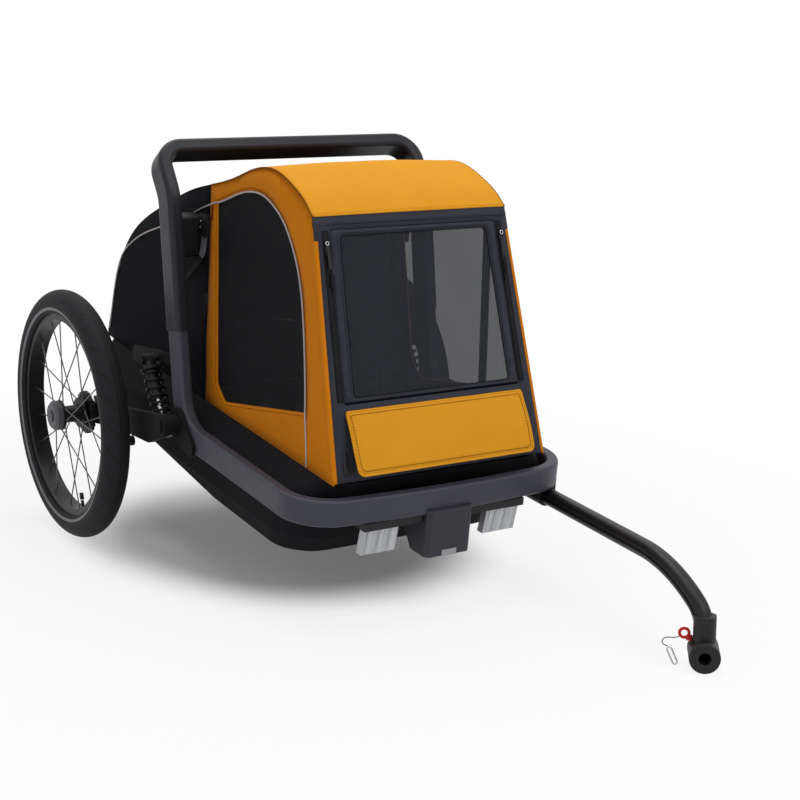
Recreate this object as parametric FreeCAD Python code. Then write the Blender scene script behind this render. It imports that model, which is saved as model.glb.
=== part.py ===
"""Two-wheeled dog trailer: fabric cabin in a bent tube frame, sprung wheels, tow arm."""
import FreeCAD
import Part
import math
import os

V = FreeCAD.Vector

# Stance: axle at the origin while shaping, rails level; the part then stands nose down.
stand_pitch = 8.0
overrun = 5.0
run_gap = 0.4
slide_gap = 0.3
shaft_gap = 0.05

# Wheels
tyre_od = 400.0
tyre_section = 44.0
tyre_wall = 4.0
wheel_x = 295.0
bead_seat = 7.0
rim_r = tyre_od / 2 - tyre_section + bead_seat
rim_height = 10.0
rim_width = 27.0
rim_wall = 3.0
spoke_count = 20
spoke_d = 2.0
spoke_cross = 54.0
flange_inset = 17.0
flange_outset = 16.0
flange_in = wheel_x - flange_inset
flange_out = wheel_x + flange_outset
flange_r = 24.0
flange_t = 4.0
spoke_circle_r = 20.0
hub_barrel_r = 13.5
disc_inset = 29.0
disc_x = wheel_x - disc_inset
disc_t = 6.0
disc_r = 34.5
disc_teeth = 24
tooth_r = 2.2
cap_r = 23.5
cap_depth = 13.0
cap_x = flange_out + flange_t + cap_depth
cap_chamfer = 4.0
axle_r = 6.0
axle_past = 3.0
axle_end = flange_out + axle_past
button_r = 9.0
button_proud = 2.5
button_length = 9.0
button_travel = 4.0

# Main frame tube
tube_h = 38.0
tube_w = 18.0
tube_wall = 2.0
tube_round = 5.0
rail_x = 221.0
rail_z = 49.0
bumper_y = -636.0
bumper_bow_r = 1750.0
corner_r = 62.0
knee_r = 70.0
lean = 13.2
upright_foot_y = -262.0
stub_top = 330.0

# Handlebar
sleeve_z = 196.0
sleeve_wall = 1.7
bar_z = 447.0
elbow_r = 34.0
bar_lean = 40.0
bar_knee_z = 390.0
bar_knee_r = 60.0

# Tub
tub_wall = 3.0
tub_floor = -50.0
tub_waist = -20.0
tub_hip = 28.0
tub_step = 33.0
shoulder_top = 56.0
cabin_floor = 85.0
tub_half = (186.0, 199.0, 200.0, 212.0, 212.0, 178.0)
tub_front = (-535.0, -560.0, -585.0, -608.0, -608.0, -622.0)
tub_rear = (60.0, 90.0, 118.0, 124.0, 126.0, 134.0)
tub_corner_r = (60.0, 72.0, 70.0, 62.0, 62.0, 40.0)
rise_start = -300.0
rise_knee = -57.0
rise_height = 35.0
rise_end_height = 66.0
mat_t = 6.0
mat_half = 144.0
mat_front = -515.0
mat_rear = 40.0

# Cabin cloth
cabin_front = -622.0
cabin_length = 754.0
cabin_height = 400.0
cabin_half = 177.0
cabin_taper = 0.052
cloth_t = 3.0
crown = 4.0
seam_shares = (
    (0.17, 0.846), (0.2007, 0.886), (0.245, 0.92), (0.3194, 0.95), (0.3947, 0.926), (0.4661, 0.869),
    (0.566, 0.805), (0.629, 0.7675), (0.7643, 0.651), (0.934, 0.425), (0.979, 0.226), (1.0, 0.02),
)
crown_shares = (0.2, 0.5, 0.8, 1.0, 1.0, 0.9, 0.8, 0.7, 0.6, 0.4, 0.2, 0.0)
side_split_shares = ((0.512, 0.0), (0.566, 0.82))
roof_split_share = 0.566
window_shares = (
    (0.5256, 0.7625), (0.3887, 0.8455), (0.2462, 0.7957), (0.1863, 0.679),
    (0.1398, 0.455), (0.1204, 0.1915), (0.4324, 0.0425), (0.464, 0.0975),
)
window_round = 14.0
net_t = 1.5
front_foot_z = 88.0
front_head_z = 417.0
door_foot_z = 184.0
door_head_z = 406.0
door_half_foot = 145.0
door_half_head = 137.0
net_foot_z = 191.0
net_head_z = 391.0
net_half_foot = 137.0
net_half_head = 119.0
net_round = 14.0
roll_r = 2.0
flap_z = 175.0
flap_lift = 2.1
flap_foot_y = -638.0
flap_foot_z = 101.0
flap_half = 146.0
flap_round = 22.0
flap_t = 3.0
rear_door_half = 148.0
rear_door_foot = 118.0
rear_door_head = 305.0
hoop_r = 6.0
hoop_bend = 40.0
hoop_half = 151.0
front_hoop_foot = -512.0
front_hoop_head = -466.0
front_hoop_z = 426.0
rear_hoop_foot = -221.0
rear_hoop_head = -203.0
rear_hoop_z = 386.0

# Zip sliders on the front panel
zip_offset = 6.0
zip_z = 380.0
slider_w = 7.0
slider_l = 13.0
slider_t = 4.0
pull_w = 5.0
pull_l = 26.0
pull_t = 1.4

# Front block, reflectors and their beam
block_half = 38.0
block_front = -652.0
block_back = -590.0
block_low = -31.0
block_lip_top = 38.0
block_lip_t = 6.5
block_rise = 30.0
socket_r = 9.0
socket_depth = 42.0
socket_y = -628.0
tab_w = 24.0
tab_h = 9.0
tab_t = 6.0
tab_proud = 2.0
tab_travel = 3.0
reflector_x = 102.0
reflector_w = 55.0
reflector_h = 40.0
reflector_t = 12.0
reflector_y = -634.0
reflector_top = 19.0
reflector_slant = 7.0
beam_half = 134.0
beam_front = -640.0
beam_back = -610.0
beam_low = 19.0

# Suspension, right-hand values mirrored to the left
pivot_y = -262.0
pivot_z = 62.0
pivot_pin_r = 7.0
bracket_t = 6.0
bracket_r = 24.0
bracket_reach = 44.0
bracket_drop = 24.0
arm_in = 252.0
arm_out = 263.0
arm_boss_r = 15.0
arm_plate_r = 17.0
arm_hub_r = 17.0
arm_ear_r = 13.0
pin_head_r = 10.0
pin_head_t = 3.0
shock_x = 232.0
lower_y = -222.0
lower_z = 36.0
upper_y = -150.0
upper_z = 130.0
eye_r = 9.0
eye_w = 19.0
eye_pin_r = 4.0
eye_slack = 0.8
spring_wire = 4.0
spring_mean_r = 13.0
spring_turns = 6
spring_seat_gap = 1.0
seat_r = 16.0
seat_t = 4.0
seat_off = 15.0
rod_r = 4.0
barrel_r = 9.0
barrel_share = 0.55
gusset_in = 212.5
gusset_t = 4.0
gusset_r = 13.0
gusset_back_y = -70.0
gusset_low_z = 98.0
gusset_top_z = 150.0

# Parking brake levers on the swing arms
lever_y = -78.0
lever_z = 18.0
lever_t = 5.5
lever_gap = 1.2
lever_r = 9.0
lever_pin_r = 4.0
pawl_y = -29.0
pawl_z = 34.0
pawl_r = 3.0
knob_y = -116.0
knob_z = -13.0
knob_r = 8.0
knob_in = 238.0

# Upright guides, straps and buckles
guide_y = -163.0
guide_z = 325.0
guide_l = 34.0
guide_h = 62.0
guide_round = 4.0
strap_w = 16.0
strap_t = 1.6
strap_shares = ((0.565, 0.6), (0.5625, 0.53))
buckle_w = 26.0
buckle_h = 33.0
buckle_t = 7.0
buckle_y = -193.0
buckle_z = 345.0

# Tow arm and coupling
tow_h = 24.0
tow_w = 22.0
tow_round = 9.0
tow_wall = 2.5
groove_w = 4.0
groove_deep = 1.2
tow_x = 197.0
tow_y = -609.0
tow_z = 14.5
tow_yaw = 8.3
tow_slope = 5.75
tow_tail = 80.0
tow_run = 267.125
tow_ease = 30.0
tow_ease_r = 250.0
tow_bend_share = 0.99
receiver_wall = 3.5
receiver_front = 8.0
receiver_back = 84.0
saddle_in = 206.0
saddle_out = 229.0
saddle_back = -532.0
saddle_front = -594.0
head_r = 20.0
head_l = 48.0
head_yaw = 39.7
head_bore_r = 8.0
head_bore_depth = 40.0
collar_r = 14.5
collar_l = 26.0
collar_seat = 4.0
tow_pin_r = 3.0
tow_pin_tip = 9.0
tow_pin_out = 27.5
tow_pin_tilt = 45.0
tow_pin_back = 26.0
boss_r = 7.0
boss_out = 22.5
pin_flange_t = 1.2
pin_flange_r = 5.0
ring_r = 6.0
ring_wire_r = 2.0

# Lanyard and clip at the lock pin
cord_d = 1.4
clip_l = 26.0
clip_w = 8.0
clip_wire = 2.2
cord_shares = (
    (-0.5, 0.05), (-0.95, -0.1), (-1.45, -0.02), (-1.95, -0.12), (-2.15, -0.5),
    (-1.95, -0.85), (-1.55, -0.95),
)
cord_step = 13.0
clip_turn = 24.0

nodes = {}
standing = set()


def save(name, shape):
    nodes[name] = shape


def box(x0, x1, y0, y1, z0, z1):
    return Part.makeBox(x1 - x0, y1 - y0, z1 - z0, V(x0, y0, z0))


def rod(start, end, radius):
    return Part.makeCylinder(radius, (end - start).Length, start, end - start)


def fuse(shapes):
    whole = shapes[0].multiFuse(shapes[1:]) if len(shapes) > 1 else shapes[0]
    return whole.removeSplitter()


def mirrored(shape):
    return shape.mirror(V(0, 0, 0), V(1, 0, 0))


def polygon(points):
    return Part.Face(Part.makePolygon(list(points) + [points[0]]))


def prism(points, x0, x1):
    """Solid between two X planes over an outline of (y, z) points."""
    return polygon([V(x0, y, z) for y, z in points]).extrude(V(x1 - x0, 0, 0))


def link(a, ra, b, rb, x0, x1):
    """Flat link with round ends: a and b are (y, z) centres."""
    ya, za = a
    yb, zb = b
    reach = math.hypot(yb - ya, zb - za)
    heading = math.atan2(zb - za, yb - ya)
    spread = math.acos((ra - rb) / reach)
    corners = []
    for (y, z), radius, turn in ((a, ra, spread), (b, rb, spread), (b, rb, -spread), (a, ra, -spread)):
        angle = heading + turn
        corners.append((y + radius * math.cos(angle), z + radius * math.sin(angle)))
    ends = [rod(V(x0, ya, za), V(x1, ya, za), ra), rod(V(x0, yb, zb), V(x1, yb, zb), rb)]
    return fuse([prism(corners, x0, x1)] + ends)


def rounded(centre, across, up, width, height, radius):
    """Rounded rectangle face around a centre, with its two directions."""
    half_w = width / 2
    half_h = height / 2
    edges = []
    corners = ((1, 1), (-1, 1), (-1, -1), (1, -1))
    for su, sv in corners:
        middle = centre + across * (su * (half_w - radius)) + up * (sv * (half_h - radius))
        first = across * su if su * sv > 0 else up * sv
        last = up * sv if su * sv > 0 else across * su
        corner = (first + last).normalize()
        edges.append((middle + first * radius, middle + corner * radius, middle + last * radius))
    wire = []
    for index, (start, mid, end) in enumerate(edges):
        wire.append(Part.Arc(start, mid, end).toShape())
        following = edges[(index + 1) % len(edges)][0]
        wire.append(Part.LineSegment(end, following).toShape())
    return Part.Face(Part.Wire(wire))


def follow(face, start, heading, steps):
    """Solid left by a section that runs straight and turns about given axes."""
    solids = []
    here = start
    for kind, axis, size, angle in steps:
        if kind == "run":
            move = heading * size
            solids.append(face.extrude(move))
            face = face.translated(move)
            here = here + move
        else:
            centre = here + axis.cross(heading) * size
            solids.append(face.revolve(centre, axis, angle))
            turn = FreeCAD.Rotation(axis, angle)
            spin = FreeCAD.Placement(V(0, 0, 0), turn, centre)
            face = face.transformed(spin.toMatrix())
            here = spin.multVec(here)
            heading = turn.multVec(heading)
    return fuse(solids), here, heading


def tube(start, heading, across, up, size, wall, radius, steps):
    width, height = size
    outer, here, way = follow(rounded(start, across, up, width, height, radius), start, heading, steps)
    bore = rounded(start, across, up, width - 2 * wall, height - 2 * wall, radius - wall)
    inner, here, way = follow(bore, start, heading, steps)
    return outer, inner, here, way


def at(share_y, share_z):
    return cabin_front + share_y * cabin_length, cabin_floor + share_z * cabin_height


def side_x(z):
    return cabin_half - (z - cabin_floor) * cabin_taper


def spline(points):
    curve = Part.BSplineCurve()
    curve.interpolate(points)
    return curve.toShape()


def inset(points, depth):
    """The same open run of (y, z) points, moved inward by a depth."""
    moved = []
    for index, (y, z) in enumerate(points):
        before = points[max(index - 1, 0)]
        after = points[min(index + 1, len(points) - 1)]
        ahead = after[0] - before[0]
        rise = after[1] - before[1]
        length = math.hypot(ahead, rise)
        moved.append((y + rise / length * depth, z - ahead / length * depth))
    return moved


# Wheels: tyre, rim, crossed spokes, hub with toothed disc, push button
def make_wheel():
    middle = V(wheel_x, 0, 0)
    along = V(1, 0, 0)
    ring_at = tyre_od / 2 - tyre_section / 2
    carcass = Part.makeTorus(ring_at, tyre_section / 2, middle, along)
    hollow = Part.makeTorus(ring_at, tyre_section / 2 - tyre_wall, middle, along)
    half = tyre_section / 2 + overrun
    plug = rod(V(wheel_x - half, 0, 0), V(wheel_x + half, 0, 0), rim_r)
    save("tyre", carcass.cut(hollow).cut(plug))

    def drum(radius, low, high):
        return rod(V(low, 0, 0), V(high, 0, 0), radius)

    low = wheel_x - rim_width / 2
    high = wheel_x + rim_width / 2
    band = drum(rim_r, low, high).cut(drum(rim_r - rim_height, low - overrun, high + overrun))
    well = drum(rim_r - rim_wall, low + rim_wall, high - rim_wall)
    well = well.cut(drum(rim_r - rim_height + rim_wall, low - overrun, high + overrun))
    save("rim", band.cut(well))

    laced = []
    for index in range(spoke_count):
        around = math.radians(index * 360.0 / spoke_count)
        outward = index % 2 == 0
        cross = math.radians(spoke_cross if index % 4 < 2 else -spoke_cross)
        hub_side = (flange_out if outward else flange_in) + flange_t / 2
        rim_side = wheel_x + (spoke_d if outward else -spoke_d)
        depth = rim_r - rim_height + rim_wall / 2
        laced_at = around + cross
        start = V(hub_side, spoke_circle_r * math.cos(laced_at), spoke_circle_r * math.sin(laced_at))
        end = V(rim_side, depth * math.cos(around), depth * math.sin(around))
        laced.append(rod(start, end, spoke_d / 2))
    save("spokes", Part.makeCompound(laced))

    shell = [
        drum(disc_r, disc_x, disc_x + disc_t),
        drum(hub_barrel_r, disc_x + disc_t, cap_x - cap_chamfer),
        drum(flange_r, flange_in, flange_in + flange_t),
        drum(flange_r, flange_out, flange_out + flange_t),
        drum(cap_r, flange_out + flange_t, cap_x - cap_chamfer),
        Part.makeCone(cap_r, cap_r - cap_chamfer, cap_chamfer, V(cap_x - cap_chamfer, 0, 0), along),
    ]
    hub = fuse(shell)
    for index in range(disc_teeth):
        around = 2 * math.pi * index / disc_teeth
        y = disc_r * math.cos(around)
        z = disc_r * math.sin(around)
        hub = hub.cut(rod(V(disc_x - overrun, y, z), V(disc_x + disc_t, y, z), tooth_r))
    hub = hub.cut(drum(axle_r + shaft_gap, disc_x - overrun, cap_x))
    pocket = cap_x - button_length - button_travel
    hub = hub.cut(drum(button_r + shaft_gap, pocket, cap_x + overrun))
    save("hub", hub)
    save("hub_button", drum(button_r, cap_x + button_proud - button_length, cap_x + button_proud))


# Frame hoop and telescoping handlebar
def make_frame():
    back = V(0, 1, 0)
    up = V(0, 0, 1)
    right = V(-1, 0, 0)
    bend_to = (rail_x - corner_r) / (1 - corner_r / bumper_bow_r)
    bow = math.degrees(math.asin(bend_to / bumper_bow_r))
    tilt = math.radians(lean)
    rise = V(0, math.sin(tilt), math.cos(tilt))
    bow_back = bumper_bow_r * (1 - math.cos(math.radians(bow)))
    corner_start = bumper_y + bow_back
    turn = math.radians(90 - bow)
    corner_end = corner_start + corner_r * math.sin(turn)
    rail_end = upright_foot_y - knee_r * math.tan(math.radians(90 - lean) / 2)
    knee_out = knee_r * math.tan(math.radians(90 - lean) / 2) * math.cos(tilt)
    stub = (stub_top - rail_z - knee_out) / math.cos(tilt)
    steps = [
        ("turn", V(0, 0, -1), bumper_bow_r, bow),
        ("turn", V(0, 0, -1), corner_r, 90 - bow),
        ("run", None, rail_end - corner_end, 0),
        ("turn", V(1, 0, 0), knee_r, 90 - lean),
        ("run", None, stub, 0),
    ]
    start = V(0, bumper_y, rail_z)
    outer, inner, here, way = tube(start, right, back, up, (tube_w, tube_h), tube_wall, tube_round, steps)
    half = outer.cut(inner)
    save("frame_hoop", fuse([half, mirrored(half)]))

    seam_y = upright_foot_y + (sleeve_z - rail_z) * math.tan(tilt)
    side = here.x
    start = V(side, seam_y, sleeve_z)
    facing = V(0, math.cos(tilt), -math.sin(tilt))
    swept = math.radians(bar_lean)
    swept_facing = V(0, math.cos(swept), -math.sin(swept))
    ease = bar_knee_r * math.tan((swept - tilt) / 2)
    steps = [
        ("run", None, (bar_knee_z - sleeve_z) / math.cos(tilt) - ease, 0),
        ("turn", V(-1, 0, 0), bar_knee_r, bar_lean - lean),
        ("run", None, (bar_z - bar_knee_z) / math.cos(swept) - ease - elbow_r, 0),
        ("turn", swept_facing, elbow_r, 90),
        ("run", None, -side - elbow_r, 0),
    ]
    grow = 2 * (sleeve_wall + slide_gap)
    size = (tube_w + grow, tube_h + grow)
    bar_round = tube_round + sleeve_wall + slide_gap
    solid, bore, here, way = tube(start, rise, V(1, 0, 0), facing, size, sleeve_wall, bar_round, steps)
    half = solid.cut(bore)
    save("handlebar", fuse([half, mirrored(half)]))
    return outer


# Tub, mat
def tub_levels(inset_by, floor, hip, step, top):
    heights = (floor, tub_waist, hip, step, shoulder_top, top)
    wires = []
    for index, z in enumerate(heights):
        half = tub_half[index] - inset_by
        front = tub_front[index] + inset_by
        rear = tub_rear[index] - inset_by
        centre = V(0, (front + rear) / 2, z)
        corner = tub_corner_r[index] - inset_by
        face = rounded(centre, V(1, 0, 0), V(0, 1, 0), 2 * half, rear - front, corner)
        wires.append(face.OuterWire)
    return Part.makeLoft(wires, True, True)


def floor_line(lift):
    return [
        (rise_start, tub_floor + lift),
        (rise_knee, tub_floor + lift + rise_height),
        (tub_rear[-1] + overrun, tub_floor + lift + rise_end_height),
    ]


def make_tub():
    outer = tub_levels(0, tub_floor, tub_hip, tub_step, cabin_floor)
    lifts = [z + tub_wall for z in (tub_floor, tub_hip, tub_step)]
    inner = tub_levels(tub_wall, *lifts, cabin_floor)
    far = 2 * tub_half[0] + overrun
    low = tub_floor - overrun
    wedge = [(rise_start, low)] + floor_line(0) + [(tub_rear[-1] + overrun, low)]
    lifted = [(rise_start, low)] + floor_line(tub_wall) + [(tub_rear[-1] + overrun, low)]
    solid = outer.cut(prism(wedge, -far, far)).cut(inner.cut(prism(lifted, -far, far)))
    save("tub", solid)
    line = floor_line(tub_wall)
    slope = (mat_rear - rise_knee) / (line[2][0] - rise_knee)
    rear_z = line[1][1] + slope * (line[2][1] - line[1][1])
    under = [(mat_front, line[0][1]), line[0], line[1], (mat_rear, rear_z)]
    over = [(y, z + mat_t) for y, z in reversed(under)]
    save("floor_mat", prism(under + over, -mat_half, mat_half))
    return solid


# Cabin cloth: roof shell, sides, front, doors, hoops
def strip_wire(points, inner, place):
    top = [place(y, z) for y, z in points]
    low = [place(y, z) for y, z in inner]
    edges = [
        spline(top),
        Part.LineSegment(top[-1], low[-1]).toShape(),
        spline(list(reversed(low))),
        Part.LineSegment(low[0], top[0]).toShape(),
    ]
    return Part.Wire(edges)


def front_y(z):
    head_y, head_z = at(*seam_shares[0])
    return cabin_front + (z - front_foot_z) * (head_y - cabin_front) / (head_z - front_foot_z)


def front_frame():
    head_y, head_z = at(*seam_shares[0])
    up = V(0, head_y - cabin_front, head_z - front_foot_z).normalize()
    return up, V(0, -up.z, up.y)


def front_plate(corners, deep, proud):
    """Plate on the sloping front: corners are (x, z), depth measured along its outward normal."""
    up, out = front_frame()
    face = polygon([V(x, front_y(z), z) + out * proud for x, z in corners])
    return face.extrude(out * (-deep - proud))


def taper_corners(half_low, low, half_high, high):
    return [(-half_low, low), (half_low, low), (half_high, high), (-half_high, high)]


def soften(shape, way, radius):
    edges = []
    for edge in shape.Edges:
        run = edge.Vertexes[-1].Point - edge.Vertexes[0].Point
        if len(edge.Vertexes) == 2 and run.Length > 0 and abs(run.normalize().dot(way)) > 0.999:
            edges.append(edge)
    return shape.makeFillet(radius, edges)


def make_cabin(tub_solid):
    seam = [at(*share) for share in seam_shares]
    seam_in = inset(seam, cloth_t)
    crest = [(y, z + crown * share) for (y, z), share in zip(seam, crown_shares)]
    crest_in = inset(crest, cloth_t)
    wires = [
        strip_wire(seam, seam_in, lambda y, z: V(-side_x(z), y, z)),
        strip_wire(crest, crest_in, lambda y, z: V(0, y, z)),
        strip_wire(seam, seam_in, lambda y, z: V(side_x(z), y, z)),
    ]
    shell = Part.makeLoft(wires, True, False)
    split_y = cabin_front + roof_split_share * cabin_length
    wide = cabin_half + overrun
    tall = cabin_floor + 2 * cabin_height
    long = cabin_front + 2 * cabin_length
    ahead = box(-wide, wide, cabin_front - overrun, split_y, 0, tall)
    behind = box(-wide, wide, split_y, long, 0, tall)
    save("roof_panel", shell.common(ahead))
    rear = shell.common(behind)
    reach = -cabin_length / 4
    opening = box(-rear_door_half, rear_door_half, reach, long, rear_door_foot, rear_door_head)
    leaf = box(
        -rear_door_half + run_gap, rear_door_half - run_gap, reach, long,
        rear_door_foot + run_gap, rear_door_head - run_gap,
    )
    save("rear_canopy", rear.cut(opening))
    save("rear_door", rear.common(leaf))

    side_in = inset(seam, cloth_t + slide_gap)
    front_in = cloth_t + slide_gap
    up, out = front_frame()
    set_back = -front_in / out.y
    corners = [V(side_x(z), y, z) for y, z in side_in]
    foot_rear = V(side_x(cabin_floor), side_in[-1][0], cabin_floor)
    foot_front = V(side_x(cabin_floor), front_y(cabin_floor) + set_back, cabin_floor)
    brow = V(side_x(front_head_z), front_y(front_head_z) + set_back, front_head_z)
    edges = [
        spline(corners),
        Part.LineSegment(corners[-1], foot_rear).toShape(),
        Part.LineSegment(foot_rear, foot_front).toShape(),
        Part.LineSegment(foot_front, brow).toShape(),
        Part.LineSegment(brow, corners[0]).toShape(),
    ]
    plate = Part.Face(Part.Wire(edges)).extrude(V(-cloth_t, 0, 0))
    foot, head = [at(*share) for share in side_split_shares]
    slope = (head[0] - foot[0]) / (head[1] - foot[1])
    low = (foot[0] - slope * foot[1], 0)
    high = (foot[0] + slope * (tall - foot[1]), tall)
    ahead = prism([low, high, (cabin_front - overrun, tall), (cabin_front - overrun, 0)], 0, wide)
    outline = [at(*share) for share in window_shares]
    hole = soften(prism(outline, 0, wide), V(1, 0, 0), window_round)
    orange = plate.common(ahead)
    pane = orange.common(hole).common(box(0, wide, cabin_front, long, 0, tall))
    inner = pane.translated(V(-(cloth_t - net_t) / 2, 0, 0))
    save("side_panel", orange.cut(hole))
    save("side_net", inner.common(pane))
    save("rear_side", plate.cut(ahead))

    whole = front_plate(
        taper_corners(side_x(front_foot_z), front_foot_z, side_x(front_head_z), front_head_z), cloth_t, 0
    )
    gate = front_plate(
        taper_corners(door_half_foot, door_foot_z, door_half_head, door_head_z), cloth_t + overrun, overrun
    )
    save("front_panel", whole.cut(gate))
    gap = run_gap + slide_gap
    axis_z = door_foot_z + roll_r + gap
    leaf = front_plate(
        taper_corners(door_half_foot - gap, axis_z, door_half_head - gap, door_head_z - gap), cloth_t, 0,
    )
    net_corners = taper_corners(net_half_foot, net_foot_z, net_half_head, net_head_z)
    net_hole = soften(front_plate(net_corners, cloth_t + overrun, overrun), out, net_round)
    axis = V(0, front_y(axis_z), axis_z) - out * (cloth_t / 2)
    half = door_half_foot - gap - roll_r
    bead = rod(axis + V(-half, 0, 0), axis + V(half, 0, 0), roll_r)
    save("front_door", fuse([leaf.cut(net_hole), bead]))
    layer = front_plate(taper_corners(wide, net_foot_z - overrun, wide, net_head_z + overrun), net_t, 0)
    save("front_net", leaf.common(net_hole).common(layer))

    top = V(0, front_y(flap_z), flap_z) + out * flap_lift
    foot = V(0, flap_foot_y, flap_foot_z)
    fall = (foot - top).normalize()
    thick = V(0, fall.z, -fall.y) * (flap_t / 2)
    corners = [
        top + V(-flap_half, 0, 0) - thick, top + V(flap_half, 0, 0) - thick,
        foot + V(flap_half, 0, 0) - thick, foot + V(-flap_half, 0, 0) - thick,
    ]
    sheet = polygon(corners).extrude(thick * 2)
    lower = []
    for edge in sheet.Edges:
        ends = [vertex.Point for vertex in edge.Vertexes]
        if abs(ends[0].x - ends[1].x) < slide_gap and (ends[0] - ends[1]).Length < flap_t + slide_gap:
            if min(ends[0].z, ends[1].z) < (flap_foot_z + flap_z) / 2:
                lower.append(edge)
    sheet = sheet.makeFillet(flap_round, lower)
    bead = rod(top + V(-flap_half, 0, 0), top + V(flap_half, 0, 0), flap_t / 2 + slide_gap)
    save("front_flap", fuse([sheet, bead]))

    hoops = []
    for foot_y, head_y, z in (
        (front_hoop_foot, front_hoop_head, front_hoop_z),
        (rear_hoop_foot, rear_hoop_head, rear_hoop_z),
    ):
        start = V(-hoop_half, foot_y, tub_floor)
        rise = V(0, head_y - foot_y, z - tub_floor)
        length = rise.Length
        rise = rise.normalize()
        facing = V(0, rise.z, -rise.y)
        ring = Part.Face(Part.Wire(Part.makeCircle(hoop_r, start, rise)))
        steps = [
            ("run", None, length - hoop_bend, 0),
            ("turn", facing, hoop_bend, 90),
            ("run", None, hoop_half - hoop_bend, 0),
        ]
        solid = follow(ring, start, rise, steps)[0]
        leg = fuse([solid, mirrored(solid)]).cut(tub_solid)
        hoops.append(max(leg.Solids, key=lambda piece: piece.Volume))
    save("front_hoop", hoops[0])
    save("rear_hoop", hoops[1])

    rest_x = door_half_head + zip_offset
    drift = (door_half_foot - door_half_head) / (door_head_z - door_foot_z)
    rest_x = rest_x + (door_head_z - zip_z) * drift
    spot = V(rest_x, front_y(zip_z), zip_z) + out * (slide_gap + run_gap)
    half_w = V(slider_w / 2, 0, 0)
    half_l = up * (slider_l / 2)
    body = polygon([
        spot - half_w - half_l, spot + half_w - half_l, spot + half_w + half_l, spot - half_w + half_l,
    ]).extrude(out * slider_t)
    hang = spot + out * slider_t
    half_w = V(pull_w / 2, 0, 0)
    tip = hang - up * pull_l
    pull = polygon([tip - half_w, tip + half_w, hang + half_w, hang - half_w]).extrude(out * pull_t)
    save("zip_slider", fuse([body, pull]))


# Front block with wheel socket, release tab, reflector beam
def make_front():
    profile = [
        (block_front, block_low), (block_front, block_lip_top), (block_front + block_lip_t, block_lip_top),
        (block_front + block_lip_t, rail_z - tube_h / 2), (block_back, rail_z - tube_h / 2),
        (block_back, block_low + block_rise), (socket_y + socket_r + block_lip_t, block_low),
    ]
    body = prism(profile, -block_half, block_half)
    front_edges = []
    for edge in body.Edges:
        ends = [vertex.Point for vertex in edge.Vertexes]
        ahead = all(abs(end.y - block_front) < slide_gap for end in ends)
        if ahead and abs(ends[0].x - ends[1].x) < slide_gap:
            front_edges.append(edge)
    body = body.makeChamfer(block_lip_t - slide_gap, front_edges)
    low = V(0, socket_y, block_low - overrun)
    body = body.cut(rod(low, low + V(0, 0, socket_depth + overrun), socket_r))
    half = tab_w / 2
    slot = box(
        -half - slide_gap, half + slide_gap, block_front - overrun, block_front + tab_t + tab_travel,
        block_low - overrun, block_low + tab_h + slide_gap,
    )
    block = body.cut(slot).cut(nodes["tub"])
    save("wheel_socket_block", max(block.Solids, key=lambda piece: piece.Volume))
    save("release_tab", box(
        -half, half, block_front - tab_proud, block_front - tab_proud + tab_t, block_low, block_low + tab_h))
    beams = []
    for sign in (-1, 1):
        near = sign * (block_half + slide_gap)
        far = sign * beam_half
        beams.append(
            box(min(near, far), max(near, far), beam_front, beam_back, beam_low, rail_z - tube_h / 2))
    save("reflector_beam", Part.makeCompound(beams))
    outline = [
        (reflector_y, reflector_top), (reflector_y + reflector_slant, reflector_top - reflector_h),
        (reflector_y + reflector_slant + reflector_t, reflector_top - reflector_h),
        (reflector_y + reflector_t, reflector_top),
    ]
    save("reflectors", prism(outline, reflector_x - reflector_w / 2, reflector_x + reflector_w / 2))


# Suspension on one side
def arc_between(start, heading, end, reach):
    corner = start + heading * reach
    middle = (start + end) * 0.5
    half = (end - start).Length / 2
    out = corner - middle
    height = out.Length
    sag = half * (math.hypot(half, height) - half) / height if height > 0 else 0
    return Part.Arc(start, middle + out.normalize() * sag, end).toShape()


def make_spring(start, axis, side, length):
    across = axis.cross(side)
    quarters = 4 * spring_turns
    climb = length / quarters
    points = []
    headings = []
    for index in range(quarters + 1):
        angle = index * math.pi / 2
        radial = side * math.cos(angle) + across * math.sin(angle)
        sideways = across * math.cos(angle) - side * math.sin(angle)
        points.append(start + radial * spring_mean_r + axis * (climb * index))
        headings.append((sideways * (spring_mean_r * math.pi / 2) + axis * climb).normalize())
    edges = [Part.LineSegment(points[0] - headings[0] * spring_wire, points[0]).toShape()]
    for index in range(quarters):
        p, q = points[index], points[index + 1]
        t, u = headings[index], headings[index + 1]
        span = q - p
        both = t + u
        a = 2 * (1 - t.dot(u))
        b = 2 * span.dot(both)
        reach = (-b + math.sqrt(b * b + 4 * a * span.dot(span))) / (2 * a)
        joint = (p + t * reach + q - u * reach) * 0.5
        edges.append(arc_between(p, t, joint, reach))
        meet = (q - u * reach - joint).normalize()
        edges.append(arc_between(joint, meet, q, reach))
    edges.append(Part.LineSegment(points[-1], points[-1] + headings[-1] * spring_wire).toShape())
    path = Part.Wire(edges)
    begin = points[0] - headings[0] * spring_wire
    ring = Part.Wire(Part.makeCircle(spring_wire / 2, begin, headings[0]))
    coil = path.makePipeShell([ring], True, False)
    samples = path.discretize(spring_turns * 40)
    skip = 20
    gap = min(
        (samples[i] - samples[j]).Length for i in range(len(samples)) for j in range(i + skip, len(samples))
    ) - spring_wire
    print("spring gap", round(gap, 2), "volume share", round(
        coil.Volume / (path.Length * math.pi * spring_wire ** 2 / 4), 4))
    return coil


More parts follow.
